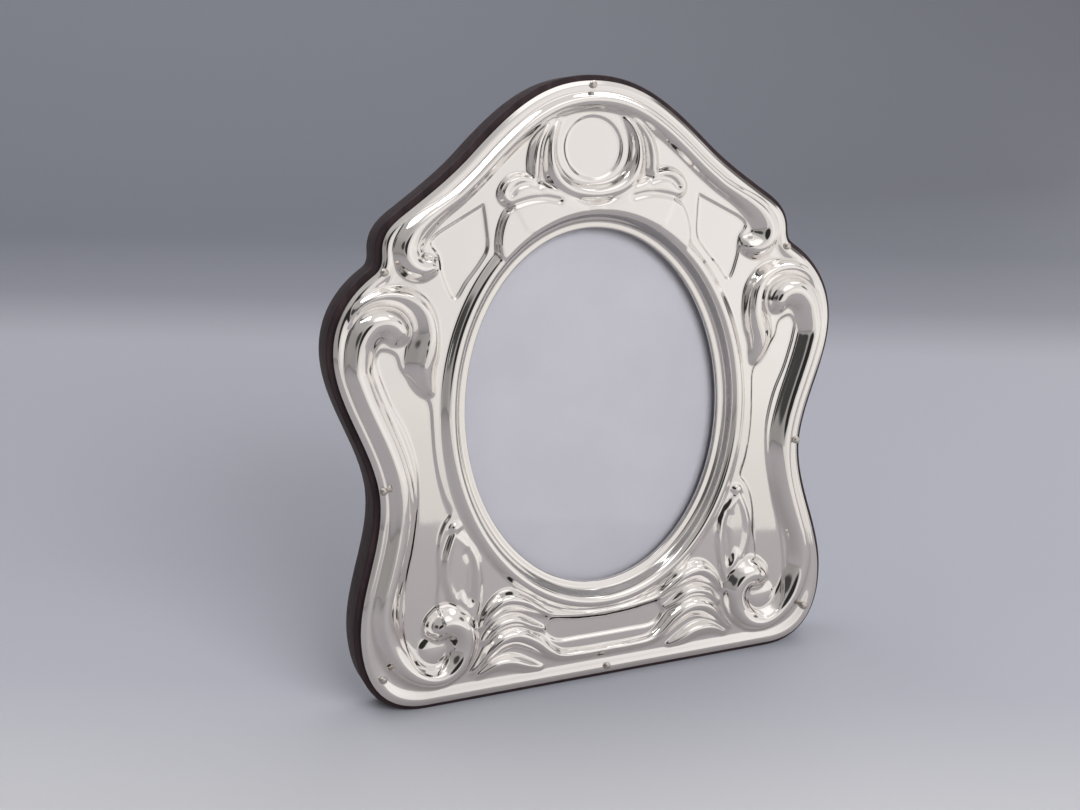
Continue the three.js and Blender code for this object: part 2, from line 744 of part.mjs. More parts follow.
function woodBody() {
  const section = [
    [frontChamfer - woodMargin, 0],
    [-woodMargin, frontChamfer],
    [-woodMargin, woodThickness - backChamfer],
    [backChamfer - woodMargin, woodThickness],
  ];
  const blank = solid(loft(
    section.map(([distance, depth]) => atDepth(outlineLoop(distance), depth)),
    false,
    plateFaces,
  ));
  const hingeHoles = screwHoles(bodyScrew).translate([0, hingeAxisDepth, hingeHeight]);
  const cuts = [
    solid(ovalPlate(rimWall + seatGap, -cutMargin, woodThickness + cutMargin)),
    solid(ovalPlate(rebateOutset, lipThickness, woodThickness + cutMargin)),
    ...pinPlaces.map(([, place]) => pinHole(place)),
    ...buttonPlaces.map(buttonScrewHole),
    hingeHoles,
    groundSeenFrom(leaningFrame),
  ];
  return geometryOf(blank.subtract(wasm.Manifold.union(cuts)));
}

// Easel hinge, about its pin

const halfHinge = hingeWidth / 2;
const halfKnuckle = knuckleWidth / 2;
const pinBore = () => solid(roll(hingePinRadius + seatGap, -halfHinge - cutMargin, halfHinge + cutMargin));

function fixedLeaf() {
  const leaf = solid(block(-halfHinge, halfHinge, leafFront, leafBack, 0, leafLength));
  const knuckles = [
    solid(roll(knuckleRadius, -halfHinge, -halfKnuckle - seatGap)),
    solid(roll(knuckleRadius, halfKnuckle + seatGap, halfHinge)),
  ];
  const gap = halfKnuckle + seatGap;
  const gapTop = knuckleRadius + seatGap;
  const slot = solid(block(-gap, gap, -cutMargin, cutMargin, -cutMargin, gapTop));
  const whole = wasm.Manifold.union([leaf.subtract(slot), ...knuckles]);
  return geometryOf(whole.subtract(pinBore()).subtract(screwHoles(bodyScrew)));
}

// The moving leaf carries a tongue that meets the fixed leaf when the strut is open.
function movingLeaf() {
  const leaf = solid(block(-halfHinge, halfHinge, leafFront, leafBack, -leafLength, 0));
  const sideTop = -knuckleRadius - seatGap;
  const sideCuts = [
    solid(block(-halfHinge - cutMargin, -halfKnuckle, -cutMargin, cutMargin, sideTop, cutMargin)),
    solid(block(halfKnuckle, halfHinge + cutMargin, -cutMargin, cutMargin, sideTop, cutMargin)),
  ];
  const knuckle = solid(roll(knuckleRadius, -halfKnuckle, halfKnuckle));
  const tongueFront = leafBack + seatGap;
  const halfTongue = halfKnuckle - tongueSideGap;
  const tongue = solid(
    block(-halfTongue, halfTongue, tongueFront, tongueFront + leafThickness, 0, tongueLength).rotateX(-strutOpen),
  );
  const flat = leaf.subtract(wasm.Manifold.union(sideCuts));
  const whole = wasm.Manifold.union([flat, knuckle, tongue]);
  return geometryOf(whole.subtract(pinBore()).subtract(screwHoles(strutScrew)));
}

function hingePin() {
  const end = halfHinge + seatGap;
  const tip = end + hingePinHeadLength;
  return turned([
    [0, -tip],
    [hingePinHeadRadius * 0.7, -tip],
    [hingePinHeadRadius, -end],
    [hingePinRadius, -end],
    [hingePinRadius, end],
    [hingePinHeadRadius, end],
    [hingePinHeadRadius * 0.7, tip],
    [0, tip],
  ], roundSegments).rotateZ(-Math.PI / 2);
}

// Strut: a board that widens to its foot, with the foot cut to the ground
function strutBoard() {
  const top = -knuckleRadius - 2 * seatGap;
  const end = -hingeHeight - cutMargin;
  const shape = new THREE.Shape();
  shape.moveTo(-strutTopHalf, top);
  shape.lineTo(strutTopHalf, top);
  shape.bezierCurveTo(strutNeckHalf, end / 3, strutNeckHalf, (2 * end) / 3, strutFootHalf, end);
  shape.lineTo(-strutFootHalf, end);
  shape.bezierCurveTo(-strutNeckHalf, (2 * end) / 3, -strutNeckHalf, end / 3, -strutTopHalf, top);
  const front = leafBack + seatGap;
  const board = solid(plate(shape, front, front + strutThickness));
  return geometryOf(board.subtract(groundSeenFrom(easel)).subtract(screwHoles(strutScrew)));
}

// Assembly

const finishes = {
  silver: { color: 0xe6e4de, roughness: 0.18, metalness: 1 },
  wood: { color: 0x2a171a, roughness: 0.35, metalness: 0 },
  brass: { color: 0xb8924a, roughness: 0.3, metalness: 1 },
  steel: { color: 0xa9a9ad, roughness: 0.3, metalness: 1 },
  glass: { color: 0xeaf2f2, roughness: 0.05, metalness: 0 },
  card: { color: 0xcfcbd8, roughness: 0.85, metalness: 0 },
  board: { color: 0x8b7a63, roughness: 0.9, metalness: 0 },
};

function piece(name, geometry, finish, parent = leaningFrame) {
  const mesh = new THREE.Mesh(geometry, new THREE.MeshStandardMaterial(finishes[finish]));
  mesh.name = name;
  parent.add(mesh);
  return mesh;
}

piece('silver_front', silverFront(), 'silver');
piece('wood_body', woodBody(), 'wood');
for (const [name, place] of pinPlaces) {
  piece(name, pin(), 'silver').position.set(place.x, 0, place.y);
}

const rebateFit = rebateOutset - sideGap;
piece('glass', closed(ovalPlate(rebateFit, glassFront, glassFront + glassThickness)), 'glass');
piece('insert_card', closed(ovalPlate(rebateFit, cardFront, cardFront + cardThickness)), 'card');
piece('backing_pad', closed(ovalPlate(rebateFit, padFront, padFront + padThickness)), 'board');
piece('back_panel', closed(ovalPlate(rebateFit, panelFront, panelBack)), 'wood');

for (const { name, pivot, inward } of buttonPlaces) {
  const button = piece(`turn_button_${name}`, closed(turnButton()), 'brass');
  button.position.set(pivot.x, 0, pivot.y);
  button.rotation.y = Math.atan2(inward.x, inward.y);
  piece(`turn_button_screw_${name}`, buttonScrew(), 'brass').position.set(pivot.x, 0, pivot.y);
}

piece('hinge_fixed_leaf', fixedLeaf(), 'brass').position.copy(easel.position);
piece('hinge_pin', hingePin(), 'steel').position.copy(easel.position);
piece('hinge_moving_leaf', movingLeaf(), 'brass', easel);
piece('strut', strutBoard(), 'wood', easel);
for (const [side, x] of hingeScrewSides) {
  piece(`hinge_body_screw_${side}`, bodyScrew(x, 0), 'brass').position.copy(easel.position);
  piece(`hinge_strut_screw_${side}`, strutScrew(x, 0), 'brass', easel);
}

// The middle of the box goes over the origin.
const pictureFrame = new THREE.Group();
pictureFrame.name = 'oval_picture_frame';
pictureFrame.add(leaningFrame);
const box = new THREE.Box3().setFromObject(pictureFrame, true);
pictureFrame.position.y = -box.getCenter(new THREE.Vector3()).y;

export default pictureFrame;
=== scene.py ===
"""Looks of a silver picture frame with an oval opening.

An embossed silver sheet, pinned on a lacquered wooden body, around a glazed oval opening.
Behind it are a back panel with turn buttons and an easel strut on a brass hinge.
"""

import json
import math

import bpy
import numpy as np
from mathutils import Matrix, Vector


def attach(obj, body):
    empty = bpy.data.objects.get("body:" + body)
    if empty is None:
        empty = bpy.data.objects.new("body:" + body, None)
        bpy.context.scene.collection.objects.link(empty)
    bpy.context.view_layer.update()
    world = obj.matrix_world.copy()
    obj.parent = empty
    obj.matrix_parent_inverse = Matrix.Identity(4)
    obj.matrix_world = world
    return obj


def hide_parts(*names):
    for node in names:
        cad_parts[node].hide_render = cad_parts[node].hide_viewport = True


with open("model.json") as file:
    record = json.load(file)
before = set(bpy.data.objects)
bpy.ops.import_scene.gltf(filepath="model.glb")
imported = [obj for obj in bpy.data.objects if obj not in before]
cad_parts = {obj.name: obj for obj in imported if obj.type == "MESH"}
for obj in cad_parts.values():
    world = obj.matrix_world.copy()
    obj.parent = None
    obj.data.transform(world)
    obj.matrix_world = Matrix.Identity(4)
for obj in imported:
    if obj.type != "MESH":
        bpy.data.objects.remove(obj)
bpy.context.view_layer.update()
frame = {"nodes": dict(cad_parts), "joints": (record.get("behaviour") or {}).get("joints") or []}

# The leaning frame: x to the right, y to the back, z up the frame, from the bottom pin on the wood's face.
# Its sizes are in millimetres, and a piece is made there in metres and then seated in the row's frame.

MM = 0.001
HINGE_DEPTH = 14.2
HINGE_HEIGHT = 152.0
STRUT_OPEN = math.radians(19.0)

joints = {joint["name"]: joint for joint in frame["joints"]}
side_way = Vector((1.0, 0.0, 0.0))
back_way = Vector(joints["button_upper_left_turn"]["axis"]).normalized()
rise_way = side_way.cross(back_way)
hinge_place = Vector(joints["strut_fold"]["pos_m"])
datum = hinge_place - (back_way * HINGE_DEPTH + rise_way * HINGE_HEIGHT) * MM
leaning = Matrix.Translation(datum) @ Matrix((side_way, back_way, rise_way)).transposed().to_4x4()
hinge_shift = Matrix.Translation(Vector((0.0, HINGE_DEPTH, HINGE_HEIGHT)) * MM)
easel = leaning @ hinge_shift @ Matrix.Rotation(STRUT_OPEN, 4, "X")

# Outline of the sheet, right half: half widths from the axis and heights above the bottom pin

CROWN = (0.0, 191.3)
SLOPE = (40.0, 170.2)
LOBE = (62.0, 153.2)
NOTCH = (69.6, 141.5)
SHOULDER_TOP = (72.5, 135.6)
SHOULDER = (86.2, 111.0)
WAIST = (74.5, 65.5)
FOOT = (83.2, 22.0)
BASE = (62.0, -3.4)

# Ovals, as [half width, half height, height of the middle]:
# the one that the rebate follows, and the opening that the silver leaves

REBATE_OVAL = (44.1, 59.0, 85.6)
RIM_OVAL = (44.3, 58.3, 86.95)

# Depths and heights of the sheet and the body

SHEET_BACK = -0.3
SHEET_INSET = 0.9
FIELD = 1.2
PANEL_STEP = 0.35
RIM_LEDGE = 3.4
RIM_SEAM = 9.6
LIP = 3.0
WOOD_MARGIN = 1.0
WOOD_THICKNESS = 12.0
REBATE_WIDTH = 4.9


def between(a, b, share):
    return a + (b - a) * share


def curve(a, b, c, d, count=90):
    """Points along a cubic curve, without its last one."""
    t = np.linspace(0.0, 1.0, count, endpoint=False)[:, None]
    points = [np.asarray(p, float) for p in (a, b, c, d)]
    weights = [(1 - t) ** 3, 3 * t * (1 - t) ** 2, 3 * t * t * (1 - t), t**3]
    return sum(w * p for w, p in zip(weights, points))


def sway(start, end):
    """A curve that leaves one upright tangent and arrives on another."""
    leave = (start[0], between(start[1], end[1], 0.34))
    arrive = (end[0], between(end[1], start[1], 0.34))
    return curve(start, leave, arrive, end)


def mixed(a, b, across, along):
    """A place at one share of the way from a to b across, and at another along."""
    return (between(a[0], b[0], across), between(a[1], b[1], along))


slope_run = np.subtract(SLOPE, (SLOPE[0] * 0.66, between(SLOPE[1], CROWN[1], 0.62)))
outline_runs = {
    "crown": curve(CROWN, (SLOPE[0] * 0.4, CROWN[1]), np.subtract(SLOPE, slope_run), SLOPE),
    "slope": curve(SLOPE, np.add(SLOPE, slope_run * 0.5), mixed(SLOPE, LOBE, 0.62, 0.66), LOBE),
    "lobe": curve(LOBE, mixed(LOBE, NOTCH, 0.66, 0.29), mixed(NOTCH, LOBE, 0.0, 0.45), NOTCH),
    "notch": curve(
        NOTCH, mixed(NOTCH, SHOULDER_TOP, 0.0, 0.6), mixed(NOTCH, SHOULDER_TOP, 0.4, 0.8), SHOULDER_TOP,
    ),
    "shoulder": curve(
        SHOULDER_TOP, mixed(SHOULDER_TOP, SHOULDER, 0.55, 0.21),
        mixed(SHOULDER, SHOULDER_TOP, 0.0, 0.47), SHOULDER,
    ),
    "waist": sway(SHOULDER, WAIST),
    "foot": sway(WAIST, FOOT),
    "corner": curve(FOOT, mixed(FOOT, BASE, 0.0, 0.6), mixed(BASE, FOOT, 0.7, 0.0), BASE),
    "base": np.linspace(BASE, (0.0, BASE[1]), 90, endpoint=False),
}


def resampled(loop, count):
    """The closed loop again, as points at even steps along it."""
    closed = np.vstack([loop, loop[:1]])
    steps = np.hypot(*np.diff(closed, axis=0).T)
    run = np.concatenate([[0.0], np.cumsum(steps)])
    marks = np.linspace(0.0, run[-1], count, endpoint=False)
    return np.column_stack([np.interp(marks, run, closed[:, k]) for k in (0, 1)])


def whole_outline(count):
    """The outline from the crown round by the right side and back, at even steps."""
    right = np.vstack(list(outline_runs.values()))
    left = right[1:][::-1] * (-1.0, 1.0)
    return resampled(np.vstack([right, [(0.0, BASE[1])], left]), count)


def unit(ways):
    """The same ways, each of length one."""
    return ways / np.hypot(*ways.T)[:, None]


def to_left(ways):
    """Each way turned to its left."""
    return np.column_stack([-ways[:, 1], ways[:, 0]])


def outset(loop, distance):
    """The loop moved straight out by a distance; it runs clockwise as seen from the front."""
    along = unit(np.roll(loop, -1, 0) - np.roll(loop, 1, 0))
    return loop + to_left(along) * distance


def ellipse(sizes, wider, count=180):
    """An oval with its half sizes made wider, from its right end round by the top."""
    half_width, half_height, middle = sizes
    turn = np.linspace(0.0, 2 * math.pi, count, endpoint=False)
    across = (half_width + wider) * np.cos(turn)
    up = middle + (half_height + wider) * np.sin(turn)
    return np.column_stack([across, up])


def arc(x, z, radius, start, sweep=90.0, count=7):
    """Points round a place, from a start angle over a sweep in degrees."""
    turn = np.radians(np.linspace(start, start + sweep, count))
    return np.column_stack([x + radius * np.cos(turn), z + radius * np.sin(turn)])


# Relief of the sheet, in the front plane

RAYS = 1150
RIM_RINGS = 34
FIELD_RINGS = 82
RIM_CROWDING = 1.25
SHARP_RINGS = 4
SOFT_PASSES = 2
FINE_OUTLINE = 2400
FINE_OVAL = 1200
FILLET = 0.5
NOTHING = -9.0
FAR = 1e9
BATCHES = 40
PANEL_POINTS = 300
DOME_FULLNESS = 0.7
GROOVE_WIDTH = 0.9
GROOVE_DEPTH = 0.75
PANEL_REACH = 2.0
PANEL_SLOPE = 0.8
CREASE_PASSES = 10
CREASE_DEPTH = 0.3
RIM_CREST = 5.5
MEDALLION = (0.0, 170.2)
MEDALLION_RADIUS = 9.5

# Mouldings, as [inset from the outline, half width, rise], with the crest's share and the fullness of each

TOP_MOULDING = (6.9, 2.9, 3.2)
TOP_PROFILE = (0.15, 1.2)
SIDE_MOULDING = (7.6, 4.4, 4.2)
SIDE_PROFILE = (0.12, 1.1)
MOULDING_STEP = 10
CURL_GAP = 3.0


def distance_to(loop, spots):
    """Distance of each spot from a closed loop of points."""
    ends = np.roll(loop, -1, 0)
    found = []
    for part in np.array_split(spots, BATCHES):
        square = ((part[:, None, :] - loop[None, :, :]) ** 2).sum(2)
        nearest = square.argmin(1)
        best = np.full(len(part), FAR)
        for k in (nearest - 1, nearest):
            start, run = loop[k], ends[k] - loop[k]
            share = ((part - start) * run).sum(1) / (run * run).sum(1)
            gap = part - start - run * np.clip(share, 0.0, 1.0)[:, None]
            best = np.minimum(best, np.hypot(*gap.T))
        found.append(best)
    return np.concatenate(found)


def smooth_through(stations, steps=7):
    """A smooth run through stations of any width."""
    points = np.asarray(stations, float)
    ends = np.vstack([2 * points[0] - points[1], points, 2 * points[-1] - points[-2]])
    runs = []
    for a, b, c, d in zip(ends, ends[1:], ends[2:], ends[3:]):
        t = np.linspace(0.0, 1.0, steps, endpoint=False)[:, None]
        bend = 2 * a - 5 * b + 4 * c - d
        twist = 3 * b - a - 3 * c + d
        runs.append(0.5 * (2 * b + (c - a) * t + bend * t**2 + twist * t**3))
    return np.vstack([*runs, points[-1:]])


def raised(height, level, softness):
    """The higher of two heights, with a soft fillet where they meet."""
    near = np.clip(1.0 - np.abs(height - level) / softness, 0.0, 1.0)
    return np.maximum(height, level) + near * near * softness / 4


def rib_height(spots, stations, crest, fullness):
    """Height of a rounded rib along stations of [x, z, half width, rise].

    The crest lies at a share of the half width to the left of the way that it runs.
    """
    run = smooth_through(stations)
    height = np.full(len(spots), NOTHING)
    for a, b in zip(run, run[1:]):
        way = b[:2] - a[:2]
        reach = way @ way
        if reach < 1e-9:
            continue
        around = 1.3 * max(a[2], b[2]) + math.sqrt(reach)
        near = np.flatnonzero((np.abs(spots - a[:2]) < around).all(1))
        part = spots[near]
        share = np.clip((part - a[:2]) @ way / reach, 0.0, 1.0)
        gap = part - a[:2] - share[:, None] * way
        away = np.hypot(gap[:, 0], gap[:, 1])
        away = np.copysign(away, way[0] * gap[:, 1] - way[1] * gap[:, 0])
        across = away / between(a[2], b[2], share) - crest
        across /= np.where(across > 0.0, 1.0 - crest, 1.0 + crest)
        fall = 1.0 - across * across
        level = np.sign(fall) * np.abs(fall) ** fullness * between(a[3], b[3], share)
        height[near] = np.maximum(height[near], level)
    return height


def groove_depth(spots, points, width, depth):
    """Depth of a fine engraved line through points."""
    run = smooth_through(points)
    away = np.full(len(spots), FAR)
    low, high = run.min(0) - 4 * width, run.max(0) + 4 * width
    inside = np.flatnonzero(((spots > low) & (spots < high)).all(1))
    part = spots[inside]
    best = np.full(len(part), FAR)
    for a, b in zip(run, run[1:]):
        way = b - a
        share = np.clip((part - a) @ way / max(way @ way, 1e-9), 0.0, 1.0)
        gap = part - a - share[:, None] * way
        best = np.minimum(best, np.hypot(gap[:, 0], gap[:, 1]))
    away[inside] = best
    return depth * np.exp(-((away / width) ** 2))


def dome_height(spots, x, z, radius, rise):
    """Height of a round boss."""
    away = np.hypot(spots[:, 0] - x, spots[:, 1] - z) / radius
    fall = 1.0 - away * away
    return np.sign(fall) * np.abs(fall) ** DOME_FULLNESS * rise


# Ornaments of the right side: ribs as stations of [x, z, half width, rise], a crest share and a fullness

curl = [
    [50.0, 153.7, 3.2, 3.3], [54.6, 150.6, 3.9, 3.6], [58.6, 147.0, 4.6, 3.9], [61.0, 142.6, 5.1, 4.2],
    [60.2, 138.8, 5.0, 4.3], [57.4, 136.9, 4.4, 4.0], [54.6, 137.0, 3.4, 3.2],
]
volute = [
    [65.6, 118.2, 4.6, 4.4], [66.9, 119.8, 4.9, 4.6], [69.6, 120.8, 5.2, 4.7], [72.9, 120.1, 5.3, 4.6],
    [75.6, 117.4, 5.0, 4.5], [77.3, 113.4, 4.7, 4.3],
]
scroll = [
    [74.6, 28.0, 4.6, 4.2], [73.4, 21.0, 4.5, 4.1], [70.4, 14.2, 4.4, 4.1], [65.6, 9.0, 4.1, 4.0],
    [60.0, 6.6, 3.9, 4.0], [55.0, 7.3, 4.0, 4.0], [51.2, 10.4, 4.2, 4.1], [49.2, 14.8, 4.4, 4.2],
    [49.2, 19.2, 4.9, 4.5], [51.3, 22.8, 5.4, 4.9], [54.6, 24.2, 5.5, 5.1], [57.0, 23.2, 5.0, 4.9],
]
crescent = [
    [10.6, 179.2, 0.5, 0.8], [12.6, 176.8, 1.2, 1.9], [14.2, 173.2, 1.8, 2.7], [14.8, 169.0, 2.2, 3.1],
    [14.3, 164.6, 2.7, 3.3], [12.2, 160.6, 3.1, 3.4], [8.6, 157.9, 3.0, 3.3], [4.4, 156.6, 2.7, 3.2],
    [0.0, 156.2, 2.6, 3.2],
]
side_ribs = {
    "frond": ([
        [80.0, 120.6, 0.8, 1.2], [77.6, 124.8, 1.6, 2.2], [74.4, 127.2, 2.1, 2.8], [70.0, 128.4, 2.6, 3.3],
        [64.8, 128.0, 3.2, 3.8], [60.4, 125.8, 3.8, 4.2], [57.7, 121.8, 4.3, 4.5], [57.0, 116.6, 4.5, 4.6],
        [57.9, 111.6, 5.0, 4.4], [58.8, 107.4, 4.7, 4.0], [58.6, 103.6, 3.9, 3.3], [57.7, 100.6, 2.9, 2.5],
        [56.9, 98.8, 1.9, 1.7],
    ], -0.4, 1.0),
    "outer sepal": ([
        [50.4, 53.0, 1.1, 0.8], [51.8, 49.6, 1.3, 1.2], [53.2, 45.0, 1.4, 1.4], [53.8, 39.6, 1.4, 1.4],
        [52.8, 34.0, 1.4, 1.4], [50.0, 28.6, 1.3, 1.3], [46.4, 24.2, 1.1, 0.9],
    ], 0.0, 1.0),
    "inner sepal": ([
        [50.2, 52.6, 1.1, 0.8], [47.4, 49.4, 1.2, 1.2], [44.6, 44.8, 1.3, 1.3], [43.4, 39.2, 1.3, 1.3],
        [43.4, 33.4, 1.3, 1.3], [44.2, 28.0, 1.2, 1.2], [45.4, 23.8, 1.1, 0.9],
    ], 0.0, 1.0),
    "bud wedge": ([[46.8, 25.4, 1.3, 1.2], [48.2, 29.0, 1.9, 1.8], [49.6, 32.4, 1.3, 1.4]], 0.0, 1.0),
    "upper frond": ([
        [42.8, 20.6, 1.2, 1.6], [39.6, 24.8, 2.6, 2.7], [35.0, 27.8, 3.4, 3.4], [29.6, 26.8, 3.1, 3.1],
        [24.4, 23.8, 2.2, 2.5], [19.6, 21.2, 1.5, 1.9], [14.0, 20.0, 1.2, 1.6], [7.0, 19.3, 1.1, 1.5],
        [0.0, 19.1, 1.1, 1.5],
    ], -0.4, 1.15),
    "middle frond": ([
        [42.0, 15.6, 1.2, 1.5], [37.6, 19.6, 2.3, 2.4], [32.0, 20.6, 2.5, 2.4], [26.6, 18.2, 1.8, 1.8],
        [22.0, 16.4, 0.7, 0.9],
    ], -0.4, 1.15),
    "lower frond": ([
        [46.6, 5.6, 0.9, 1.2], [43.0, 9.0, 1.7, 2.0], [39.8, 12.4, 2.8, 2.9], [36.0, 15.0, 3.5, 3.5],
        [31.0, 15.4, 3.7, 3.6], [25.6, 12.6, 3.2, 3.2], [20.8, 8.6, 2.4, 2.7], [16.0, 6.2, 1.9, 2.3],
        [9.0, 5.6, 1.8, 2.1], [0.0, 5.6, 1.8, 2.1],
    ], -0.35, 1.15),
    "lowest frond": ([
        [44.6, 4.2, 1.0, 1.1], [39.0, 6.8, 2.2, 2.3], [33.6, 6.8, 2.7, 2.5], [28.4, 4.8, 2.2, 2.1],
        [23.6, 3.2, 0.9, 1.0],
    ], -0.3, 1.15),
    "crown leaf": ([
        [11.4, 180.4, 0.5, 0.8], [15.6, 176.6, 1.3, 2.0], [18.4, 172.2, 1.9, 2.6], [19.6, 167.0, 2.2, 2.7],
        [19.8, 162.2, 1.9, 2.2],
    ], 0.1, 1.0),
}
side_bosses = [(59.6, 15.0, 4.6, 0.9), (50.2, 54.4, 1.9, 1.1)]
side_grooves = [
    [(28.2, 157.2), (26.0, 159.4), (22.4, 160.2), (18.8, 159.2)],
    [(27.8, 153.8), (23.0, 155.0), (17.6, 155.4), (12.6, 154.6)],
    [(46.8, 46.4), (45.6, 42.0), (46.2, 35.6), (46.4, 30.0)],
]
# Smooth leaves with a rounded edge:
# the seen edge as a curve, the hidden one as corners, the rise and the edge's width
side_leaves = [
    ([(28.2, 153.2), (31.2, 155.4), (31.6, 158.4), (29.1, 161.8), (25.3, 163.0), (21.5, 162.2),
      (18.8, 160.6)],
     [(12.0, 158.0), (4.0, 154.0), (-3.0, 153.0), (-3.0, 143.0), (10.0, 142.0), (24.0, 145.0)], 2.4, 1.3),
    ([(28.2, 153.2), (30.4, 151.3), (32.3, 146.6), (33.0, 141.6), (32.4, 138.0)],
     [(28.0, 134.0), (14.0, 140.0), (0.0, 142.0), (-3.0, 150.0), (8.0, 154.0), (19.0, 157.0)], 2.4, 1.3),
    ([(50.6, 53.6), (53.4, 46.4), (54.4, 40.0), (53.0, 33.0), (49.8, 27.6), (46.0, 23.8)],
     [(43.0, 29.0), (42.0, 36.0), (42.6, 41.0), (44.6, 46.6), (47.6, 50.6)], 0.8, 0.9),
]
# Flat panels of the field, as closed outlines
side_panels = [
    [(36.7, 154.3), (44.8, 150.0), (51.6, 146.2), (53.6, 143.4), (51.4, 139.8), (50.4, 133.6),
     (47.2, 126.6), (43.0, 131.5), (38.5, 136.8), (35.9, 141.4), (36.1, 148.7)],
    [(71.4, 104.0), (72.4, 109.4), (70.6, 112.6), (66.4, 111.0), (64.8, 106.2), (61.4, 101.8),
     (57.6, 97.2), (56.2, 93.6), (56.0, 86.7), (55.8, 79.6), (55.0, 72.2), (53.4, 65.0), (51.6, 59.4),
     (53.6, 56.2), (55.4, 52.0), (56.4, 46.0), (56.4, 39.0), (57.4, 30.0), (55.6, 20.0), (55.0, 12.0),
     (60.0, 8.0), (66.0, 12.0), (68.4, 22.0), (67.8, 33.0), (66.4, 41.2), (64.2, 49.6), (62.2, 60.0),
     (61.4, 68.5), (61.8, 77.0), (64.4, 86.7), (68.4, 95.4)],
]
base_panel = [
    (0.0, 17.3), (10.0, 18.0), (18.4, 19.4), (21.0, 15.4), (17.2, 11.6), (8.0, 11.2),
    (-8.0, 11.2), (-17.2, 11.6), (-21.0, 15.4), (-18.4, 19.4), (-10.0, 18.0),
]


def mirrored(stations):
    """The same stations on the left side."""
    flipped = np.array(stations, float)
    flipped[:, 0] *= -1.0
    return flipped


def moulding(names, distance, half_width, rise):
    """Stations along parts of the outline, moved straight in by a distance and of one girth."""
    right = np.vstack([outline_runs[name] for name in names])
    run = (right - to_left(unit(np.gradient(right, axis=0))) * distance)[::MOULDING_STEP]
    return np.column_stack([run, np.full(len(run), half_width), np.full(len(run), rise)])


def top_moulding():
    """Stations from the left curl over the crown to the right curl."""
    along = moulding(["crown", "slope"], *TOP_MOULDING)
    right = np.vstack([along[along[:, 0] < curl[0][0] - CURL_GAP], curl])
    return np.vstack([mirrored(right[1:])[::-1], right])


def side_moulding():
    """Stations from the volute at the shoulder down the right side to the scroll of the corner."""
    along = moulding(["waist", "foot"], *SIDE_MOULDING)
    low, high = scroll[0][1] + CURL_GAP, volute[-1][1] - CURL_GAP
    return np.vstack([volute, along[(along[:, 1] > low) & (along[:, 1] < high)], scroll])


def inside_loop(loop, spots):
    """Which spots lie within a closed loop."""
    within = np.zeros(len(spots), bool)
    for (x0, z0), (x1, z1) in zip(loop, np.roll(loop, -1, 0)):
        if z0 == z1:
            continue
        crosses = (spots[:, 1] < z0) != (spots[:, 1] < z1)
        within ^= crosses & (spots[:, 0] < x0 + (spots[:, 1] - z0) * (x1 - x0) / (z1 - z0))
    return within


def depth_within(loop, spots, most):
    """How far each spot lies within a closed loop, less than nothing outside it, and at most a distance."""
    even = resampled(np.asarray(loop, float), PANEL_POINTS)
    depth = np.full(len(spots), -most)
    low, high = even.min(0) - most, even.max(0) + most
    near = np.flatnonzero(((spots > low) & (spots < high)).all(1))
    part = spots[near]
    away = np.where(inside_loop(even, part), 1.0, -1.0) * distance_to(even, part)
    depth[near] = np.clip(away, -most, most)
    return depth


def leaf_height(spots, seen, hidden, rise, width):
    """Height of a smooth leaf with a rounded edge."""
    depth = depth_within(np.vstack([smooth_through(seen), hidden]), spots, width)
    share = np.clip(depth / width, 0.0, 1.0)
    return np.where(depth > 0.0, rise * np.sqrt(1.0 - (1.0 - share) ** 2), NOTHING)


def panel_depth(spots):
    """How far each spot lies within a flat panel or the medallion, in millimetres."""
    depth = np.clip(MEDALLION_RADIUS - np.hypot(*(spots - MEDALLION).T), -PANEL_REACH, PANEL_REACH)
    outlines = [base_panel, *side_panels, *[mirrored(corners) for corners in side_panels]]
    for corners in outlines:
        loop = smooth_through([*corners, corners[0]], 9)[:-1]
        depth = np.maximum(depth, depth_within(loop, spots, PANEL_REACH))
    return depth


def panel_sink(depth):
    """How far the flat panels lie under the field, with a soft step at their edges."""
    share = np.clip(0.5 + PANEL_SLOPE * depth, 0.0, 1.0)
    return PANEL_STEP * share * share * (3.0 - 2.0 * share)


def flange_height(inward):
    """Rolled edge of the sheet over the distance in from the outline."""
    marks = [0.0, 0.12, 0.35, 0.8, 1.4, 2.1, 2.8, 3.5, 4.2, 4.8, 6.0, 90.0]
    levels = [0.5, 1.05, 1.5, 1.92, 2.17, 2.2, 2.05, 1.75, 1.35, 0.95, 0.0, NOTHING]
    return np.interp(inward, marks, levels)


def rim_height(outward):
    """Moulded rim over the distance out from its oval: a low lip, a round crest and a steep fall."""
    marks = [
        0.0, 0.12, 0.4, 1.0, 1.8, 2.3, 2.7, 3.1, 3.6, 4.1,
        4.7, 5.3, 5.9, 6.5, 7.1, 7.7, 8.3, 8.9, 9.4, 90.0,
    ]
    levels = [
        -2.3, -1.9, -1.72, -1.64, -1.58, -1.45, -0.95, -0.1, 1.1, 2.1,
        2.8, 3.1, 3.15, 3.02, 2.74, 2.3, 1.7, 0.95, 0.2, NOTHING,
    ]
    return np.interp(outward, marks, levels)


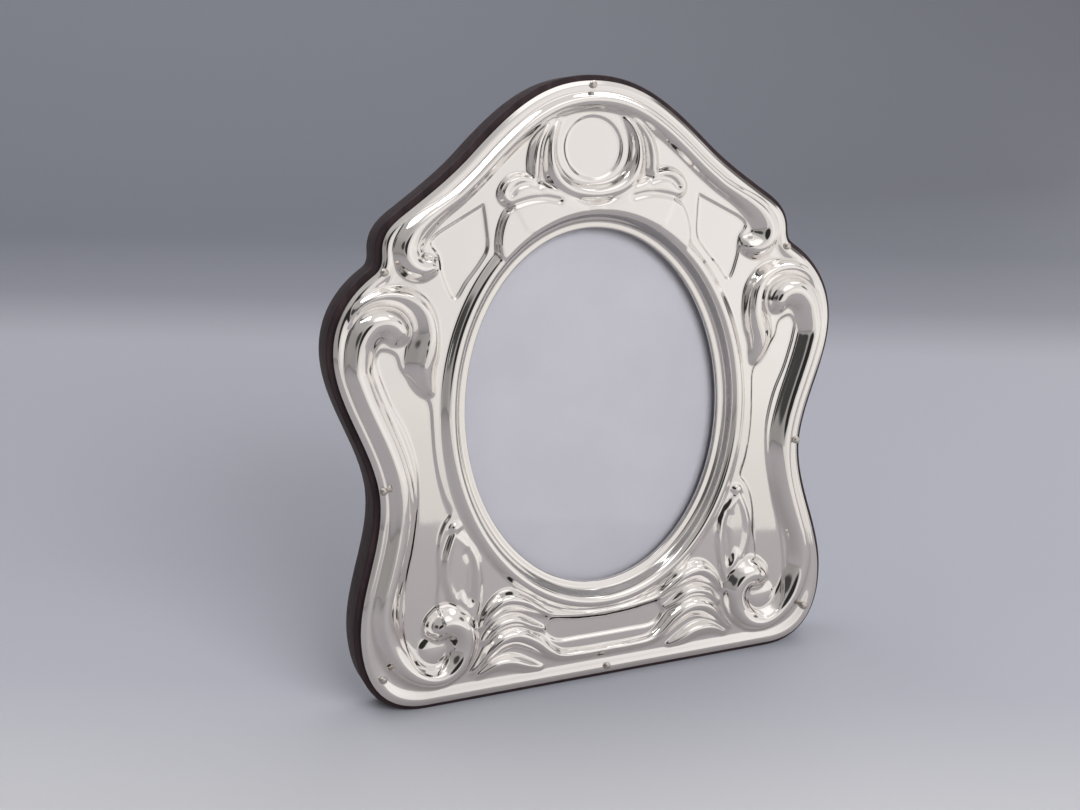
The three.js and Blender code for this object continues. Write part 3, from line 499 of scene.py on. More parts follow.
def sheet_relief(spots, panel):
    """Height of the sheet's face above its back at each spot, given how far it lies within a panel."""
    inward = distance_to(whole_outline(FINE_OUTLINE), spots) - SHEET_INSET
    outward = distance_to(ellipse(RIM_OVAL, 0.0, FINE_OVAL), spots)
    height = raised(FIELD - panel_sink(panel), flange_height(inward), FILLET)
    whole_crescent = np.vstack([crescent[:-1], mirrored(crescent)[::-1]])
    ribs = [(top_moulding(), *TOP_PROFILE), (whole_crescent, 0.0, 1.0)]
    for stations, crest, fullness in [(side_moulding(), *SIDE_PROFILE), *side_ribs.values()]:
        ribs.append((stations, crest, fullness))
        ribs.append((mirrored(stations), -crest, fullness))
    for seen, hidden, rise, width in side_leaves:
        for seen_edge, hidden_edge in ((seen, hidden), (mirrored(seen), mirrored(hidden))):
            height = raised(height, FIELD + leaf_height(spots, seen_edge, hidden_edge, rise, width), FILLET)
    for stations, crest, fullness in ribs:
        height = raised(height, FIELD + rib_height(spots, stations, crest, fullness), FILLET)
    for x, z, radius, rise in side_bosses:
        for side_x in (x, -x):
            height = raised(height, FIELD + dome_height(spots, side_x, z, radius, rise), FILLET)
    for points in side_grooves:
        for run in (points, mirrored(points)):
            height -= groove_depth(spots, run, GROOVE_WIDTH, GROOVE_DEPTH)
    rim = rim_height(outward)
    return np.where(outward < RIM_CREST, rim, raised(height, rim, FILLET))


def smoothed(grid, passes):
    """The heights over rays and rings, softened a little along both."""
    for _ in range(passes):
        grid = (np.roll(grid, 1, 0) + 2 * grid + np.roll(grid, -1, 0)) / 4
        padded = np.pad(grid, ((0, 0), (1, 1)), mode="edge")
        grid = (padded[:, :-2] + 2 * grid + padded[:, 2:]) / 4
    return grid


def linked(name, data):
    """A new object of the scene."""
    thing = bpy.data.objects.new(name, data)
    bpy.context.scene.collection.objects.link(thing)
    return thing


def embossed(name, spots, height, panel, behind):
    """A closed piece of the sheet from its face over rays and rings and the loops behind it."""
    rings = spots.shape[1]
    face = [(spots[:, ring], SHEET_BACK - height[:, ring]) for ring in range(rings)]
    hidden = [(loop, np.full(RAYS, depth)) for loop, depth in behind]
    rows = [np.column_stack([loop[:, 0], depth, loop[:, 1]]) for loop, depth in face + hidden]
    points = np.stack(rows, 0)
    count = len(rows)
    here = np.arange(count * RAYS).reshape(count, RAYS)
    after = np.roll(here, -1, 0)
    quads = np.stack([here, np.roll(here, -1, 1), np.roll(after, -1, 1), after], -1).reshape(-1, 4)
    mesh = bpy.data.meshes.new(name)
    mesh.from_pydata((points.reshape(-1, 3) * MM).tolist(), [], quads.tolist())
    # The crease attribute: how far each point lies below its smoothed surroundings; the silver's finish
    # turns it into painted shade.
    crease = np.zeros((count, RAYS))
    crease[:rings] = np.clip((smoothed(height, CREASE_PASSES) - height) / CREASE_DEPTH, 0.0, 1.0).T
    within = np.full((count, RAYS), -PANEL_REACH)
    within[:rings] = panel.T
    for title, values in (("crease", crease), ("panel", within)):
        mesh.attributes.new(title, "FLOAT", "POINT").data.foreach_set("value", values.ravel())
    return linked(name, mesh)


def silver_pieces():
    """The pressed silver: the rim of the opening and the field round it, over the same rays."""
    half_width, half_height, middle = RIM_OVAL
    outline = outset(whole_outline(RAYS), -SHEET_INSET)
    from_middle = outline - (0.0, middle)
    turn = np.arctan2(from_middle[:, 1] / half_height, from_middle[:, 0] / half_width)
    out = unit(np.column_stack([np.cos(turn) * half_height, np.sin(turn) * half_width]))
    opening = np.column_stack([np.cos(turn) * half_width, middle + np.sin(turn) * half_height])
    seam = opening + out * RIM_SEAM
    ledge = opening + out * RIM_LEDGE
    share = np.linspace(0.0, 1.0, RIM_RINGS) ** RIM_CROWDING
    rim_spots = opening[:, None, :] + (seam - opening)[:, None, :] * share[None, :, None]
    share = np.linspace(0.0, 1.0, FIELD_RINGS)
    field_spots = seam[:, None, :] + (outline - seam)[:, None, :] * share[None, :, None]
    every = np.concatenate([rim_spots, field_spots[:, 1:]], 1)
    panel = panel_depth(every.reshape(-1, 2))
    height = sheet_relief(every.reshape(-1, 2), panel).reshape(RAYS, -1)
    panel = panel.reshape(RAYS, -1)
    height[:, SHARP_RINGS:] = smoothed(height, SOFT_PASSES)[:, SHARP_RINGS:]
    rim_behind = [(seam, SHEET_BACK), (ledge, SHEET_BACK), (ledge, LIP), (opening, LIP)]
    field_behind = [(outline, SHEET_BACK), (seam, SHEET_BACK)]
    rim_part, field_part = np.s_[:, :RIM_RINGS], np.s_[:, RIM_RINGS - 1:]
    return (
        embossed("silver_front_rim", rim_spots, height[rim_part], panel[rim_part], rim_behind),
        embossed("silver_front_field", field_spots, height[field_part], panel[field_part], field_behind),
    )


# Modelling by operators

def leave_edit():
    """Goes back to object mode."""
    bpy.ops.object.mode_set(mode="OBJECT")


def deselect_all():
    """Leaves nothing selected, in object mode."""
    if bpy.context.object and bpy.context.object.mode != "OBJECT":
        leave_edit()
    bpy.ops.object.select_all(action="DESELECT")


def begin(piece):
    """Selects one piece alone, to work on it."""
    deselect_all()
    piece.select_set(True)
    bpy.context.view_layer.objects.active = piece


def edit_all(piece):
    """Begins work on the whole mesh of a piece, in edit mode."""
    begin(piece)
    bpy.ops.object.mode_set(mode="EDIT")
    bpy.ops.mesh.select_all(action="SELECT")


def join(piece, others):
    """Joins other pieces into one."""
    begin(piece)
    for other in others:
        other.select_set(True)
    bpy.ops.object.join()


def shifted(x, y, z):
    """A move in millimetres."""
    return Matrix.Translation(Vector((x, y, z)) * MM)


def choose_edges(piece, test):
    """Selects the edges whose ends both pass a test of their place, in edit mode."""
    bpy.context.tool_settings.mesh_select_mode = (False, True, False)
    bpy.ops.object.mode_set(mode="EDIT")
    bpy.ops.mesh.select_all(action="DESELECT")
    leave_edit()
    ends = piece.data.vertices
    for edge in piece.data.edges:
        edge.select = all(test(ends[k].co) for k in edge.vertices)
    bpy.ops.object.mode_set(mode="EDIT")


def round_rim(piece, depth, radius, segments=4):
    """Rounds the edges of a plate that lie at one depth."""
    choose_edges(piece, lambda place: abs(place.y - depth * MM) < 1e-6)
    bpy.ops.mesh.bevel(offset=radius * MM, segments=segments, affect="EDGES")
    leave_edit()


def ring(name, places, fill):
    """A circle drawn to a closed loop of places in millimetres."""
    deselect_all()
    bpy.ops.mesh.primitive_circle_add(vertices=len(places), radius=0.1, fill_type=fill)
    piece = bpy.context.object
    piece.name = name
    for vertex, place in zip(piece.data.vertices, places):
        vertex.co = Vector(place) * MM
    return piece


def plate(name, loop, front, back):
    """A flat plate of an outline in the front plane: a disc drawn to the outline and extruded back."""
    piece = ring(name, [(x, front, z) for x, z in loop], "NGON")
    edit_all(piece)
    bpy.ops.mesh.extrude_region_move(TRANSFORM_OT_translate={"value": (0.0, (back - front) * MM, 0.0)})
    bpy.ops.mesh.select_all(action="SELECT")
    bpy.ops.mesh.normals_make_consistent(inside=False)
    leave_edit()
    return piece


def turned(name, profile, steps=40):
    """A turned piece on an axis along y, from a profile of [radius, depth] that ends on the axis."""
    piece = ring(name, [(radius, depth, 0.0) for radius, depth in profile], "NOTHING")
    choose_edges(piece, lambda place: abs(place.x) < 1e-9)
    bpy.ops.mesh.delete(type="EDGE")
    bpy.ops.mesh.select_all(action="SELECT")
    bpy.ops.mesh.spin(steps=steps, angle=2 * math.pi, center=(0.0, 0.0, 0.0), axis=(0.0, 1.0, 0.0))
    bpy.ops.mesh.select_all(action="SELECT")
    bpy.ops.mesh.remove_doubles(threshold=1e-6)
    bpy.ops.mesh.normals_make_consistent(inside=False)
    leave_edit()
    return piece


def cut(piece, cutter):
    """Takes a cutter's shape out of a piece."""
    begin(piece)
    change = piece.modifiers.new("cut", "BOOLEAN")
    change.operation = "DIFFERENCE"
    change.solver = "EXACT"
    change.object = cutter
    bpy.ops.object.modifier_apply(modifier=change.name)
    bpy.data.objects.remove(cutter)


def cut_ground(piece, seating):
    """Cuts a piece off where the ground will be once it is seated."""
    place = seating.inverted() @ Vector((0.0, 0.0, 0.0))
    way = seating.to_3x3().transposed() @ Vector((0.0, 0.0, 1.0))
    edit_all(piece)
    bpy.ops.mesh.bisect(plane_co=place, plane_no=way, use_fill=True, clear_inner=True, threshold=1e-7)
    leave_edit()


def mend(piece):
    """Merges doubles, takes out slivers and splits the faces of a cut piece into triangles."""
    edit_all(piece)
    bpy.ops.mesh.remove_doubles(threshold=1e-6)
    bpy.ops.mesh.quads_convert_to_tris(quad_method="BEAUTY", ngon_method="BEAUTY")
    bpy.ops.mesh.dissolve_degenerate(threshold=1e-6)
    leave_edit()


BLADE_LENGTH = 12.0
BLADE_OVER = 1.0


def slotted(piece, top, width, depth, turn):
    """Cuts a driver's slot in a screw head whose top lies at a place along y."""
    deselect_all()
    middle = (top - depth / 2 + BLADE_OVER / 2) * MM
    bpy.ops.mesh.primitive_cube_add(size=1.0, location=(0.0, middle, 0.0), rotation=(0.0, turn, 0.0))
    blade = bpy.context.object
    blade.scale = Vector((BLADE_LENGTH, depth + BLADE_OVER, width)) * MM
    bpy.ops.object.transform_apply(location=True, rotation=True, scale=True)
    cut(piece, blade)


def seat(piece, place, node, body, finish, smooth=40.0):
    """Puts a finished piece in the row's frame, on its body, for its node and with its finish."""
    begin(piece)
    bpy.ops.object.transform_apply(location=True, rotation=True, scale=True)
    piece.data.transform(place)
    edit_all(piece)
    bpy.ops.mesh.normals_make_consistent(inside=False)
    leave_edit()
    bpy.ops.object.shade_smooth_by_angle(angle=math.radians(smooth))
    piece.data.materials.clear()
    piece.data.materials.append(finish)
    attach(piece, body)
    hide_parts(node)


def copies(master, uses):
    """Copies a piece for each use, as [matrix, node, body, slot, finish], and takes the first away; the
    slot is not used.
    """
    for matrix, node, body, slot, finish in uses:
        begin(master)
        bpy.ops.object.duplicate()
        twin = bpy.context.object
        twin.name = node + "_dressed"
        seat(twin, matrix, node, body, finish)
    bpy.data.objects.remove(master)


# Finishes

class Value:
    """A socket of a finish; sums on it add Math nodes."""

    def __init__(self, finish, socket):
        self.finish = finish
        self.socket = socket

    def math(self, operation, *values):
        return self.finish.add("Math", dict(enumerate(values)), operation=operation)

    def __add__(self, other):
        return self.math("ADD", self, other)

    def __sub__(self, other):
        return self.math("SUBTRACT", self, other)

    def __rsub__(self, other):
        return self.math("SUBTRACT", other, self)

    def __mul__(self, other):
        return self.math("MULTIPLY", self, other)

    __radd__ = __add__
    __rmul__ = __mul__


class Finish:
    """A node tree, with one method that adds a node."""

    def __init__(self, owner):
        self.owner = owner
        owner.use_nodes = True
        self.tree = owner.node_tree
        self.tree.nodes.clear()

    def add(self, kind, inputs=None, output=0, **settings):
        node = self.tree.nodes.new("ShaderNode" + kind)
        for name, setting in settings.items():
            setattr(node, name, setting)
        for name, value in (inputs or {}).items():
            socket = node.inputs[name]
            if isinstance(value, Value):
                self.tree.links.new(value.socket, socket)
            else:
                socket.default_value = value
        return Value(self, node.outputs[output]) if node.outputs else None


def new_finish(name):
    """The finish of a new material."""
    return Finish(bpy.data.materials.new(name))


def ended(finish, shader):
    """Ends a finish with a shader, and gives its material."""
    finish.add("OutputMaterial", {"Surface": shader})
    return finish.owner


def shaded(finish, inputs):
    """Ends a finish with the principled shader."""
    return ended(finish, finish.add("BsdfPrincipled", inputs))


def stretched(finish, scale=(1.0, 1.0, 1.0)):
    """Object coordinates, drawn out along their axes."""
    place = finish.add("TexCoord", output="Object")
    return finish.add("Mapping", {"Vector": place, "Scale": scale})


def along_axis(finish, place, axis):
    """One coordinate of a place."""
    return finish.add("SeparateXYZ", {"Vector": place}, output=axis)


def mottled(finish, place, scale, detail=3.0):
    """Soft noise of a scale."""
    return finish.add("TexNoise", {"Vector": place, "Scale": scale, "Detail": detail})


def ramp(finish, share, *stops):
    """A colour from stops of [share, colour]."""
    mixed_colour = finish.add("ValToRGB", {"Fac": share})
    elements = mixed_colour.socket.node.color_ramp.elements
    while len(elements) < len(stops):
        elements.new(1.0)
    for element, (position, colour) in zip(elements, stops):
        element.position = position
        element.color = (*colour, 1.0)
    return mixed_colour


def blended(finish, share, first, second):
    """A share of the way from a first colour to a second one."""
    inputs = {"Factor": share, 6: first, 7: second}
    return finish.add("Mix", inputs, 2, data_type="RGBA")


def span(finish, value, low, high, way="LINEAR"):
    """The value's share of the way from low to high."""
    inputs = {"Value": value, "From Min": low, "From Max": high}
    return finish.add("MapRange", inputs, interpolation_type=way)


def eased(finish, value, low, high):
    """The same share, with a soft start and end."""
    return span(finish, value, low, high, "SMOOTHSTEP")


def bumped(finish, height, strength, distance):
    """A normal from a height."""
    return finish.add("Bump", {"Height": height, "Strength": strength, "Distance": distance})


def silver_finish():
    """Polished silver: faint waves from the pressing, polishing haze, and painted shade that darkens and
    dulls the creases.
    """
    finish = new_finish("polished_silver")
    place = stretched(finish)
    wave = mottled(finish, place, 55.0, 2.0)
    haze = mottled(finish, place, 420.0)
    grain = mottled(finish, place, 2600.0, 2.0)
    depth = finish.add("Attribute", output="Fac", attribute_name="panel")
    panel = eased(finish, depth, -0.7, 0.5)
    crease = finish.add("Attribute", output="Fac", attribute_name="crease")
    # Painted shade: deep creases of the relief get a darker colour and a rougher surface.
    crease_shade = span(finish, crease + (haze - 0.5) * 0.3, 0.7, 1.8)
    bright = ramp(finish, wave, (0.3, (0.942, 0.924, 0.908)), (0.7, (0.957, 0.943, 0.93)))
    return shaded(finish, {
        "Base Color": blended(finish, crease_shade, bright, (0.62, 0.585, 0.565, 1.0)),
        "Metallic": 1.0,
        "Roughness": 0.03 + haze * 0.04 + grain * 0.02 + crease_shade * 0.15,
        "Normal": bumped(finish, wave * 0.1 + haze * 0.006 - panel * 0.65, 1.0, 0.0006),
    })


def nail_finish():
    """Small pin heads: silver gone a little dull and yellow."""
    finish = new_finish("pin_silver")
    place = stretched(finish)
    spots = mottled(finish, place, 900.0)
    return shaded(finish, {
        "Base Color": ramp(finish, spots, (0.3, (0.52, 0.48, 0.44)), (0.65, (0.76, 0.73, 0.69))),
        "Metallic": 1.0,
        "Roughness": 0.2 + spots * 0.2,
        "Normal": bumped(finish, spots, 0.15, 0.0002),
    })


def lacquer_finish(name, along):
    """Dark lacquered wood: fine grain along one way, pores, and a coat that dulls here and there."""
    finish = new_finish(name)
    scale = [340.0, 340.0, 340.0]
    scale[along] = 14.0
    grain = mottled(finish, stretched(finish, scale), 1.0, 4.0)
    scale[along] = 60.0
    pores = mottled(finish, stretched(finish, [2.4 * step for step in scale]), 1.0, 2.0)
    cloud = mottled(finish, stretched(finish), 38.0)
    pit = span(finish, pores, 0.62, 0.74)
    return shaded(finish, {
        "Base Color": ramp(
            finish, grain * 0.75 + cloud * 0.25,
            (0.32, (0.012, 0.007, 0.009)), (0.5, (0.023, 0.013, 0.016)), (0.68, (0.037, 0.022, 0.025)),
        ),
        "Roughness": 0.42 + cloud * 0.16 + pit * 0.2,
        "Normal": bumped(finish, grain * 0.4 - pit, 0.16, 0.0003),
        "Specular IOR Level": 0.3,
    })


def brass_finish(name, browned):
    """Brass: brushing, a share of brown all over, more in patches, and a few dark specks."""
    finish = new_finish(name)
    brush = mottled(finish, stretched(finish, (160.0, 2600.0, 2600.0)), 1.0, 2.0)
    patch = mottled(finish, stretched(finish), 190.0, 4.0)
    speck = span(finish, mottled(finish, stretched(finish), 1500.0, 1.0), 0.7, 0.78)
    old = span(finish, patch, 0.48, 0.72)
    bright = ramp(finish, brush, (0.3, (0.56, 0.39, 0.15)), (0.7, (0.74, 0.54, 0.24)))
    brown = old * 0.55 + speck * 0.4 + browned
    return shaded(finish, {
        "Base Color": blended(finish, brown, bright, (0.2, 0.12, 0.05, 1.0)),
        "Metallic": 1.0,
        "Roughness": 0.22 + brush * 0.12 + old * 0.2,
        "Normal": bumped(finish, brush, 0.12, 0.0001),
    })


def steel_finish():
    """Bright drawn wire: fine lines along it and a little grey bloom."""
    finish = new_finish("drawn_steel")
    lines = mottled(finish, stretched(finish, (60.0, 3000.0, 3000.0)), 1.0, 2.0)
    bloom = mottled(finish, stretched(finish), 300.0)
    return shaded(finish, {
        "Base Color": ramp(finish, bloom, (0.3, (0.36, 0.36, 0.37)), (0.7, (0.6, 0.6, 0.62))),
        "Metallic": 1.0,
        "Roughness": 0.2 + lines * 0.15 + bloom * 0.1,
        "Normal": bumped(finish, lines, 0.1, 0.0001),
    })


def card_finish():
    """Smooth white card: fine fibres and a faint cloud in the stock."""
    finish = new_finish("white_card")
    fibre = mottled(finish, stretched(finish, (900.0, 900.0, 2600.0)), 1.0, 2.0)
    cloud = mottled(finish, stretched(finish), 45.0)
    return shaded(finish, {
        "Base Color": ramp(
            finish, cloud * 0.6 + fibre * 0.4, (0.3, (0.57, 0.565, 0.63)), (0.7, (0.63, 0.625, 0.695))
        ),
        "Roughness": 0.72 + fibre * 0.15,
        "Normal": bumped(finish, fibre, 0.1, 0.0002),
    })


def board_finish():
    """Grey-brown board: coarse fibres pressed flat."""
    finish = new_finish("grey_board")
    fibre = mottled(finish, stretched(finish, (500.0, 500.0, 1100.0)), 1.0, 4.0)
    fleck = span(finish, mottled(finish, stretched(finish), 1300.0, 1.0), 0.66, 0.76)
    return shaded(finish, {
        "Base Color": ramp(
            finish, fibre - fleck * 0.3, (0.2, (0.12, 0.095, 0.07)), (0.75, (0.34, 0.28, 0.21))
        ),
        "Roughness": 0.85 + fibre * 0.1,
        "Normal": bumped(finish, fibre, 0.35, 0.0003),
    })


def glass_finish():
    """Clear glass: it mirrors more at a slant, and a few smears dull it."""
    finish = new_finish("clear_glass")
    smear = mottled(finish, stretched(finish, (14.0, 14.0, 40.0)), 1.0, 4.0)
    clear = finish.add("BsdfTransparent", {"Color": (0.985, 0.985, 0.985, 1.0)})
    mirror = finish.add("BsdfGlossy", {"Roughness": 0.03})
    slant = finish.add("Fresnel", {"IOR": 1.5})
    share = slant * (0.85 - span(finish, smear, 0.5, 0.8) * 0.2)
    return ended(finish, finish.add("MixShader", {"Fac": share, 1: clear, 2: mirror}))


silver = silver_finish()
pin_silver = nail_finish()
frame_lacquer = lacquer_finish("frame_lacquer", 2)
panel_lacquer = lacquer_finish("panel_lacquer", 0)
brass = brass_finish("stamped_brass", 0.0)
screw_brass = brass_finish("screw_brass", 0.35)
steel = steel_finish()


# Pieces

for silver_piece in silver_pieces():
    seat(silver_piece, leaning, "silver_front", "frame", silver, 60.0)

# Wooden body

SEAT = 0.3
PAST_WOOD = 5.0
BODY_POINTS = 640
PANEL_FRONT = 8.6
PANEL_GAP = 0.4

body = plate("wood_body_dressed", outset(whole_outline(BODY_POINTS), WOOD_MARGIN), 0.0, WOOD_THICKNESS)
round_rim(body, WOOD_THICKNESS, 1.5, 5)
round_rim(body, 0.0, 0.5, 3)
cut(body, plate("opening", ellipse(RIM_OVAL, RIM_LEDGE + SEAT), -PAST_WOOD, WOOD_THICKNESS + PAST_WOOD))
cut(body, plate("rebate", ellipse(REBATE_OVAL, REBATE_WIDTH), LIP, WOOD_THICKNESS + PAST_WOOD))
cut_ground(body, leaning)
mend(body)
seat(body, leaning, "wood_body", "frame", frame_lacquer, 35.0)

panel_loop = ellipse(REBATE_OVAL, REBATE_WIDTH - PANEL_GAP)
panel = plate("back_panel_dressed", panel_loop, PANEL_FRONT, WOOD_THICKNESS - SEAT)
round_rim(panel, WOOD_THICKNESS - SEAT, 0.4, 3)
seat(panel, leaning, "back_panel", "frame", panel_lacquer, 35.0)

# Pins of the rolled edge

nail = turned("nail", [
    (0.0, -3.6), (0.4, -3.57), (0.75, -3.46), (1.03, -3.27), (1.22, -3.0), (1.28, -2.75), (1.22, -2.45),
    (0.6, -2.25), (0.6, 3.2), (0.24, 4.4), (0.0, 5.0),
], 28)
nail_uses = []
for name, node in frame["nodes"].items():
    if name.startswith("nail_"):
        places = np.array([leaning.inverted() @ vertex.co / MM for vertex in node.data.vertices])
        x, _, z = (places.min(0) + places.max(0)) / 2
        nail_uses.append((leaning @ shifted(x, 0.0, z), name, "frame", "silver", pin_silver))
copies(nail, nail_uses)

# Turn buttons and their screws

BUTTON_FRONT = WOOD_THICKNESS + SEAT
BUTTON_BACK = BUTTON_FRONT + 1.2
BUTTON_REACH = 11.0
BUTTON_TIP = 2.8
BUTTON_PIVOT = 4.0
SLOT_WIDTH = 0.7
SCREW_TOP = BUTTON_BACK + 1.6
button_outline = np.vstack([
    arc(0.0, BUTTON_REACH, BUTTON_TIP, 0.0, 180.0, 21), arc(0.0, 0.0, BUTTON_PIVOT, 180.0, 180.0, 25),
])
button = plate("turn_button", button_outline, BUTTON_FRONT, BUTTON_BACK)
round_rim(button, BUTTON_BACK, 0.35, 3)
round_rim(button, BUTTON_FRONT, 0.15, 2)
screw = turned("button_screw", [
    (0.0, SCREW_TOP), (0.8, SCREW_TOP - 0.04), (1.6, SCREW_TOP - 0.24), (2.3, SCREW_TOP - 0.6),
    (2.72, SCREW_TOP - 1.05), (2.8, SCREW_TOP - 1.3), (1.1, SCREW_TOP - 1.3), (1.1, 9.2), (0.0, 7.0),
], 36)
slotted(screw, SCREW_TOP, SLOT_WIDTH, 0.75, math.radians(24))
button_uses = []
screw_uses = []
for index, corner in enumerate(("upper_left", "upper_right", "lower_left", "lower_right")):
    pivot = leaning.inverted() @ Vector(joints[f"button_{corner}_turn"]["pos_m"]) / MM
    half_width, half_height, middle = REBATE_OVAL
    angle = math.atan2(-pivot.x * half_height / half_width, -(pivot.z - middle) * half_width / half_height)
    seated = leaning @ shifted(pivot.x, 0.0, pivot.z)
    inward = seated @ Matrix.Rotation(angle, 4, "Y")
    turned_slot = seated @ Matrix.Rotation(index * 1.1, 4, "Y")
    button_uses.append((inward, f"turn_button_{corner}", f"button_{corner}", "brass", brass))
    screw_uses.append((turned_slot, f"turn_button_screw_{corner}", "frame", "brass", screw_brass))
copies(button, button_uses)
copies(screw, screw_uses)

# Easel hinge, about its pin

at_hinge = leaning @ hinge_shift
along_x = Matrix.Rotation(-math.pi / 2, 4, "Z")
HALF_HINGE = 12.0
HALF_KNUCKLE = 4.0
KNUCKLE = 1.9
KNUCKLE_EDGE = 0.25
RIM_ROUND = 0.2
SINK = 2.45
SHANK_HOLE = 1.3
KNUCKLE_NOTCH = 2.2
HALF_GAP = HALF_KNUCKLE + 0.3
LEAF_THICKNESS = 1.0
LEAF_REACH = 17.0
LEAF_CORNER = 2.0
SCREW_SIDE = 7.6
SCREW_HEIGHT = 10.0


def roll(left, right):
    """A knuckle of the hinge, with rounded ends."""
    return turned("knuckle", [
        (0.0, left), (KNUCKLE - KNUCKLE_EDGE, left), (KNUCKLE, left + KNUCKLE_EDGE),
        (KNUCKLE, right - KNUCKLE_EDGE), (KNUCKLE - KNUCKLE_EDGE, right), (0.0, right),
    ], 32)


def leaf(name, outline, knuckles, screw_height, screw_face):
    """A leaf of the hinge: a thin plate with two sunk holes, joined with its knuckles."""
    front, back = -KNUCKLE, -KNUCKLE + LEAF_THICKNESS
    piece = plate(name, outline, front, back)
    round_rim(piece, back, RIM_ROUND, 2)
    round_rim(piece, front, RIM_ROUND, 2)
    wide, narrow = (back, front) if screw_face > 0 else (front, back)
    for x in (-SCREW_SIDE, SCREW_SIDE):
        sink = turned("sink", [
            (0.0, wide + screw_face), (SINK, wide + screw_face), (SINK, wide - 0.1 * screw_face),
            (SHANK_HOLE, narrow + 0.05 * screw_face), (SHANK_HOLE, narrow - screw_face),
            (0.0, narrow - screw_face),
        ], 32)
        sink.data.transform(shifted(x, 0.0, screw_height))
        cut(piece, sink)
    rolls = [roll(left, right) for left, right in knuckles]
    for barrel in rolls:
        barrel.data.transform(along_x)
    join(piece, rolls)
    return piece


corner_x, corner_z = HALF_HINGE - LEAF_CORNER, LEAF_REACH - LEAF_CORNER
fixed_outline = np.vstack([
    arc(corner_x, corner_z, LEAF_CORNER, 0.0), arc(-corner_x, corner_z, LEAF_CORNER, 90.0),
    [(-HALF_HINGE, 0.0), (-HALF_GAP, 0.0), (-HALF_GAP, KNUCKLE_NOTCH),
     (HALF_GAP, KNUCKLE_NOTCH), (HALF_GAP, 0.0), (HALF_HINGE, 0.0)],
])
fixed_knuckles = [(-HALF_HINGE, -HALF_GAP), (HALF_GAP, HALF_HINGE)]
fixed = leaf("hinge_fixed_leaf_dressed", fixed_outline, fixed_knuckles, SCREW_HEIGHT, 1.0)
seat(fixed, at_hinge, "hinge_fixed_leaf", "frame", brass, 35.0)

moving_outline = np.vstack([
    arc(-corner_x, -corner_z, LEAF_CORNER, 180.0), arc(corner_x, -corner_z, LEAF_CORNER, 270.0),
    [(HALF_HINGE, -KNUCKLE_NOTCH), (HALF_KNUCKLE, -KNUCKLE_NOTCH), (HALF_KNUCKLE, 0.0),
     (-HALF_KNUCKLE, 0.0), (-HALF_KNUCKLE, -KNUCKLE_NOTCH), (-HALF_HINGE, -KNUCKLE_NOTCH)],
])
moving_knuckles = [(-HALF_KNUCKLE, HALF_KNUCKLE)]
moving = leaf("hinge_moving_leaf_dressed", moving_outline, moving_knuckles, -SCREW_HEIGHT, -1.0)
tongue_outline = np.vstack([
    arc(2.3, 6.8, 1.2, 0.0), arc(-2.3, 6.8, 1.2, 90.0), [(-3.5, 0.2), (3.5, 0.2)],
])
TONGUE_BACK = 0.4
tongue = plate("stop_tongue", tongue_outline, TONGUE_BACK - LEAF_THICKNESS, TONGUE_BACK)
round_rim(tongue, TONGUE_BACK, RIM_ROUND, 2)
tongue.data.transform(Matrix.Rotation(-STRUT_OPEN, 4, "X"))
join(moving, [tongue])
seat(moving, easel, "hinge_moving_leaf", "strut", brass, 35.0)

wire = turned("hinge_wire", [
    (0.0, -13.1), (0.7, -13.05), (1.2, -12.9), (1.55, -12.6), (1.6, -12.3), (0.9, -12.3),
    (0.9, 12.3), (1.6, 12.3), (1.55, 12.6), (1.2, 12.9), (0.7, 13.05), (0.0, 13.1),
], 28)
copies(wire, [(at_hinge @ along_x, "hinge_pin", "frame", "steel", steel)])

# Countersunk screws of the hinge, with the rims of their heads at y = 0

SUNK_TOP = 0.45
sunk = turned("hinge_screw", [
    (0.0, SUNK_TOP), (1.0, 0.39), (1.8, 0.18), (2.25, 0.0),
    (2.25, -0.1), (1.1, -0.95), (1.1, -4.0), (0.0, -5.0),
], 32)
slotted(sunk, SUNK_TOP, SLOT_WIDTH, 0.7, math.radians(8))
turned_about = Matrix.Rotation(math.pi, 4, "X")
sunk_uses = []
for side, x in (("left", -SCREW_SIDE), ("right", SCREW_SIDE)):
    on_body = at_hinge @ shifted(x, -KNUCKLE + LEAF_THICKNESS, SCREW_HEIGHT)
    on_body = on_body @ Matrix.Rotation(0.4 * x, 4, "Y")
    on_strut = easel @ shifted(x, -KNUCKLE, -SCREW_HEIGHT) @ turned_about
    on_strut = on_strut @ Matrix.Rotation(0.3 * x, 4, "Y")
    sunk_uses.append((on_body, f"hinge_body_screw_{side}", "frame", "brass", screw_brass))
    sunk_uses.append((on_strut, f"hinge_strut_screw_{side}", "strut", "brass", screw_brass))
copies(sunk, sunk_uses)

# Strut

STRUT_FRONT = -0.6
STRUT_BACK = STRUT_FRONT + 5.0
STRUT_TOP = (13.0, -2.5)
STRUT_WAIST = 11.5
STRUT_FOOT = (22.0, -172.0)

strut_side = curve(STRUT_TOP, (STRUT_WAIST, -57.33), (STRUT_WAIST, -114.67), STRUT_FOOT, 60)
strut_foot = [STRUT_FOOT, (-STRUT_FOOT[0], STRUT_FOOT[1])]
strut_outline = np.vstack([strut_side, strut_foot, strut_side[::-1] * (-1.0, 1.0)])
strut = plate("strut_dressed", strut_outline, STRUT_FRONT, STRUT_BACK)
round_rim(strut, STRUT_BACK, 0.8, 4)
round_rim(strut, STRUT_FRONT, 0.4, 3)
cut_ground(strut, easel)
seat(strut, easel, "strut", "strut", frame_lacquer, 35.0)

# Solids of the frame that keep their shape

kept_solids = {"glass": glass_finish(), "insert_card": card_finish(), "backing_pad": board_finish()}
for name, finish in kept_solids.items():
    node = frame["nodes"][name]
    node.data.materials.clear()
    node.data.materials.append(finish)


# Studio

FLOOR_REACH = 2.5
SWEEP_START = 0.75
SWEEP_RADIUS = 0.5
SWEEP_TOP = 2.2
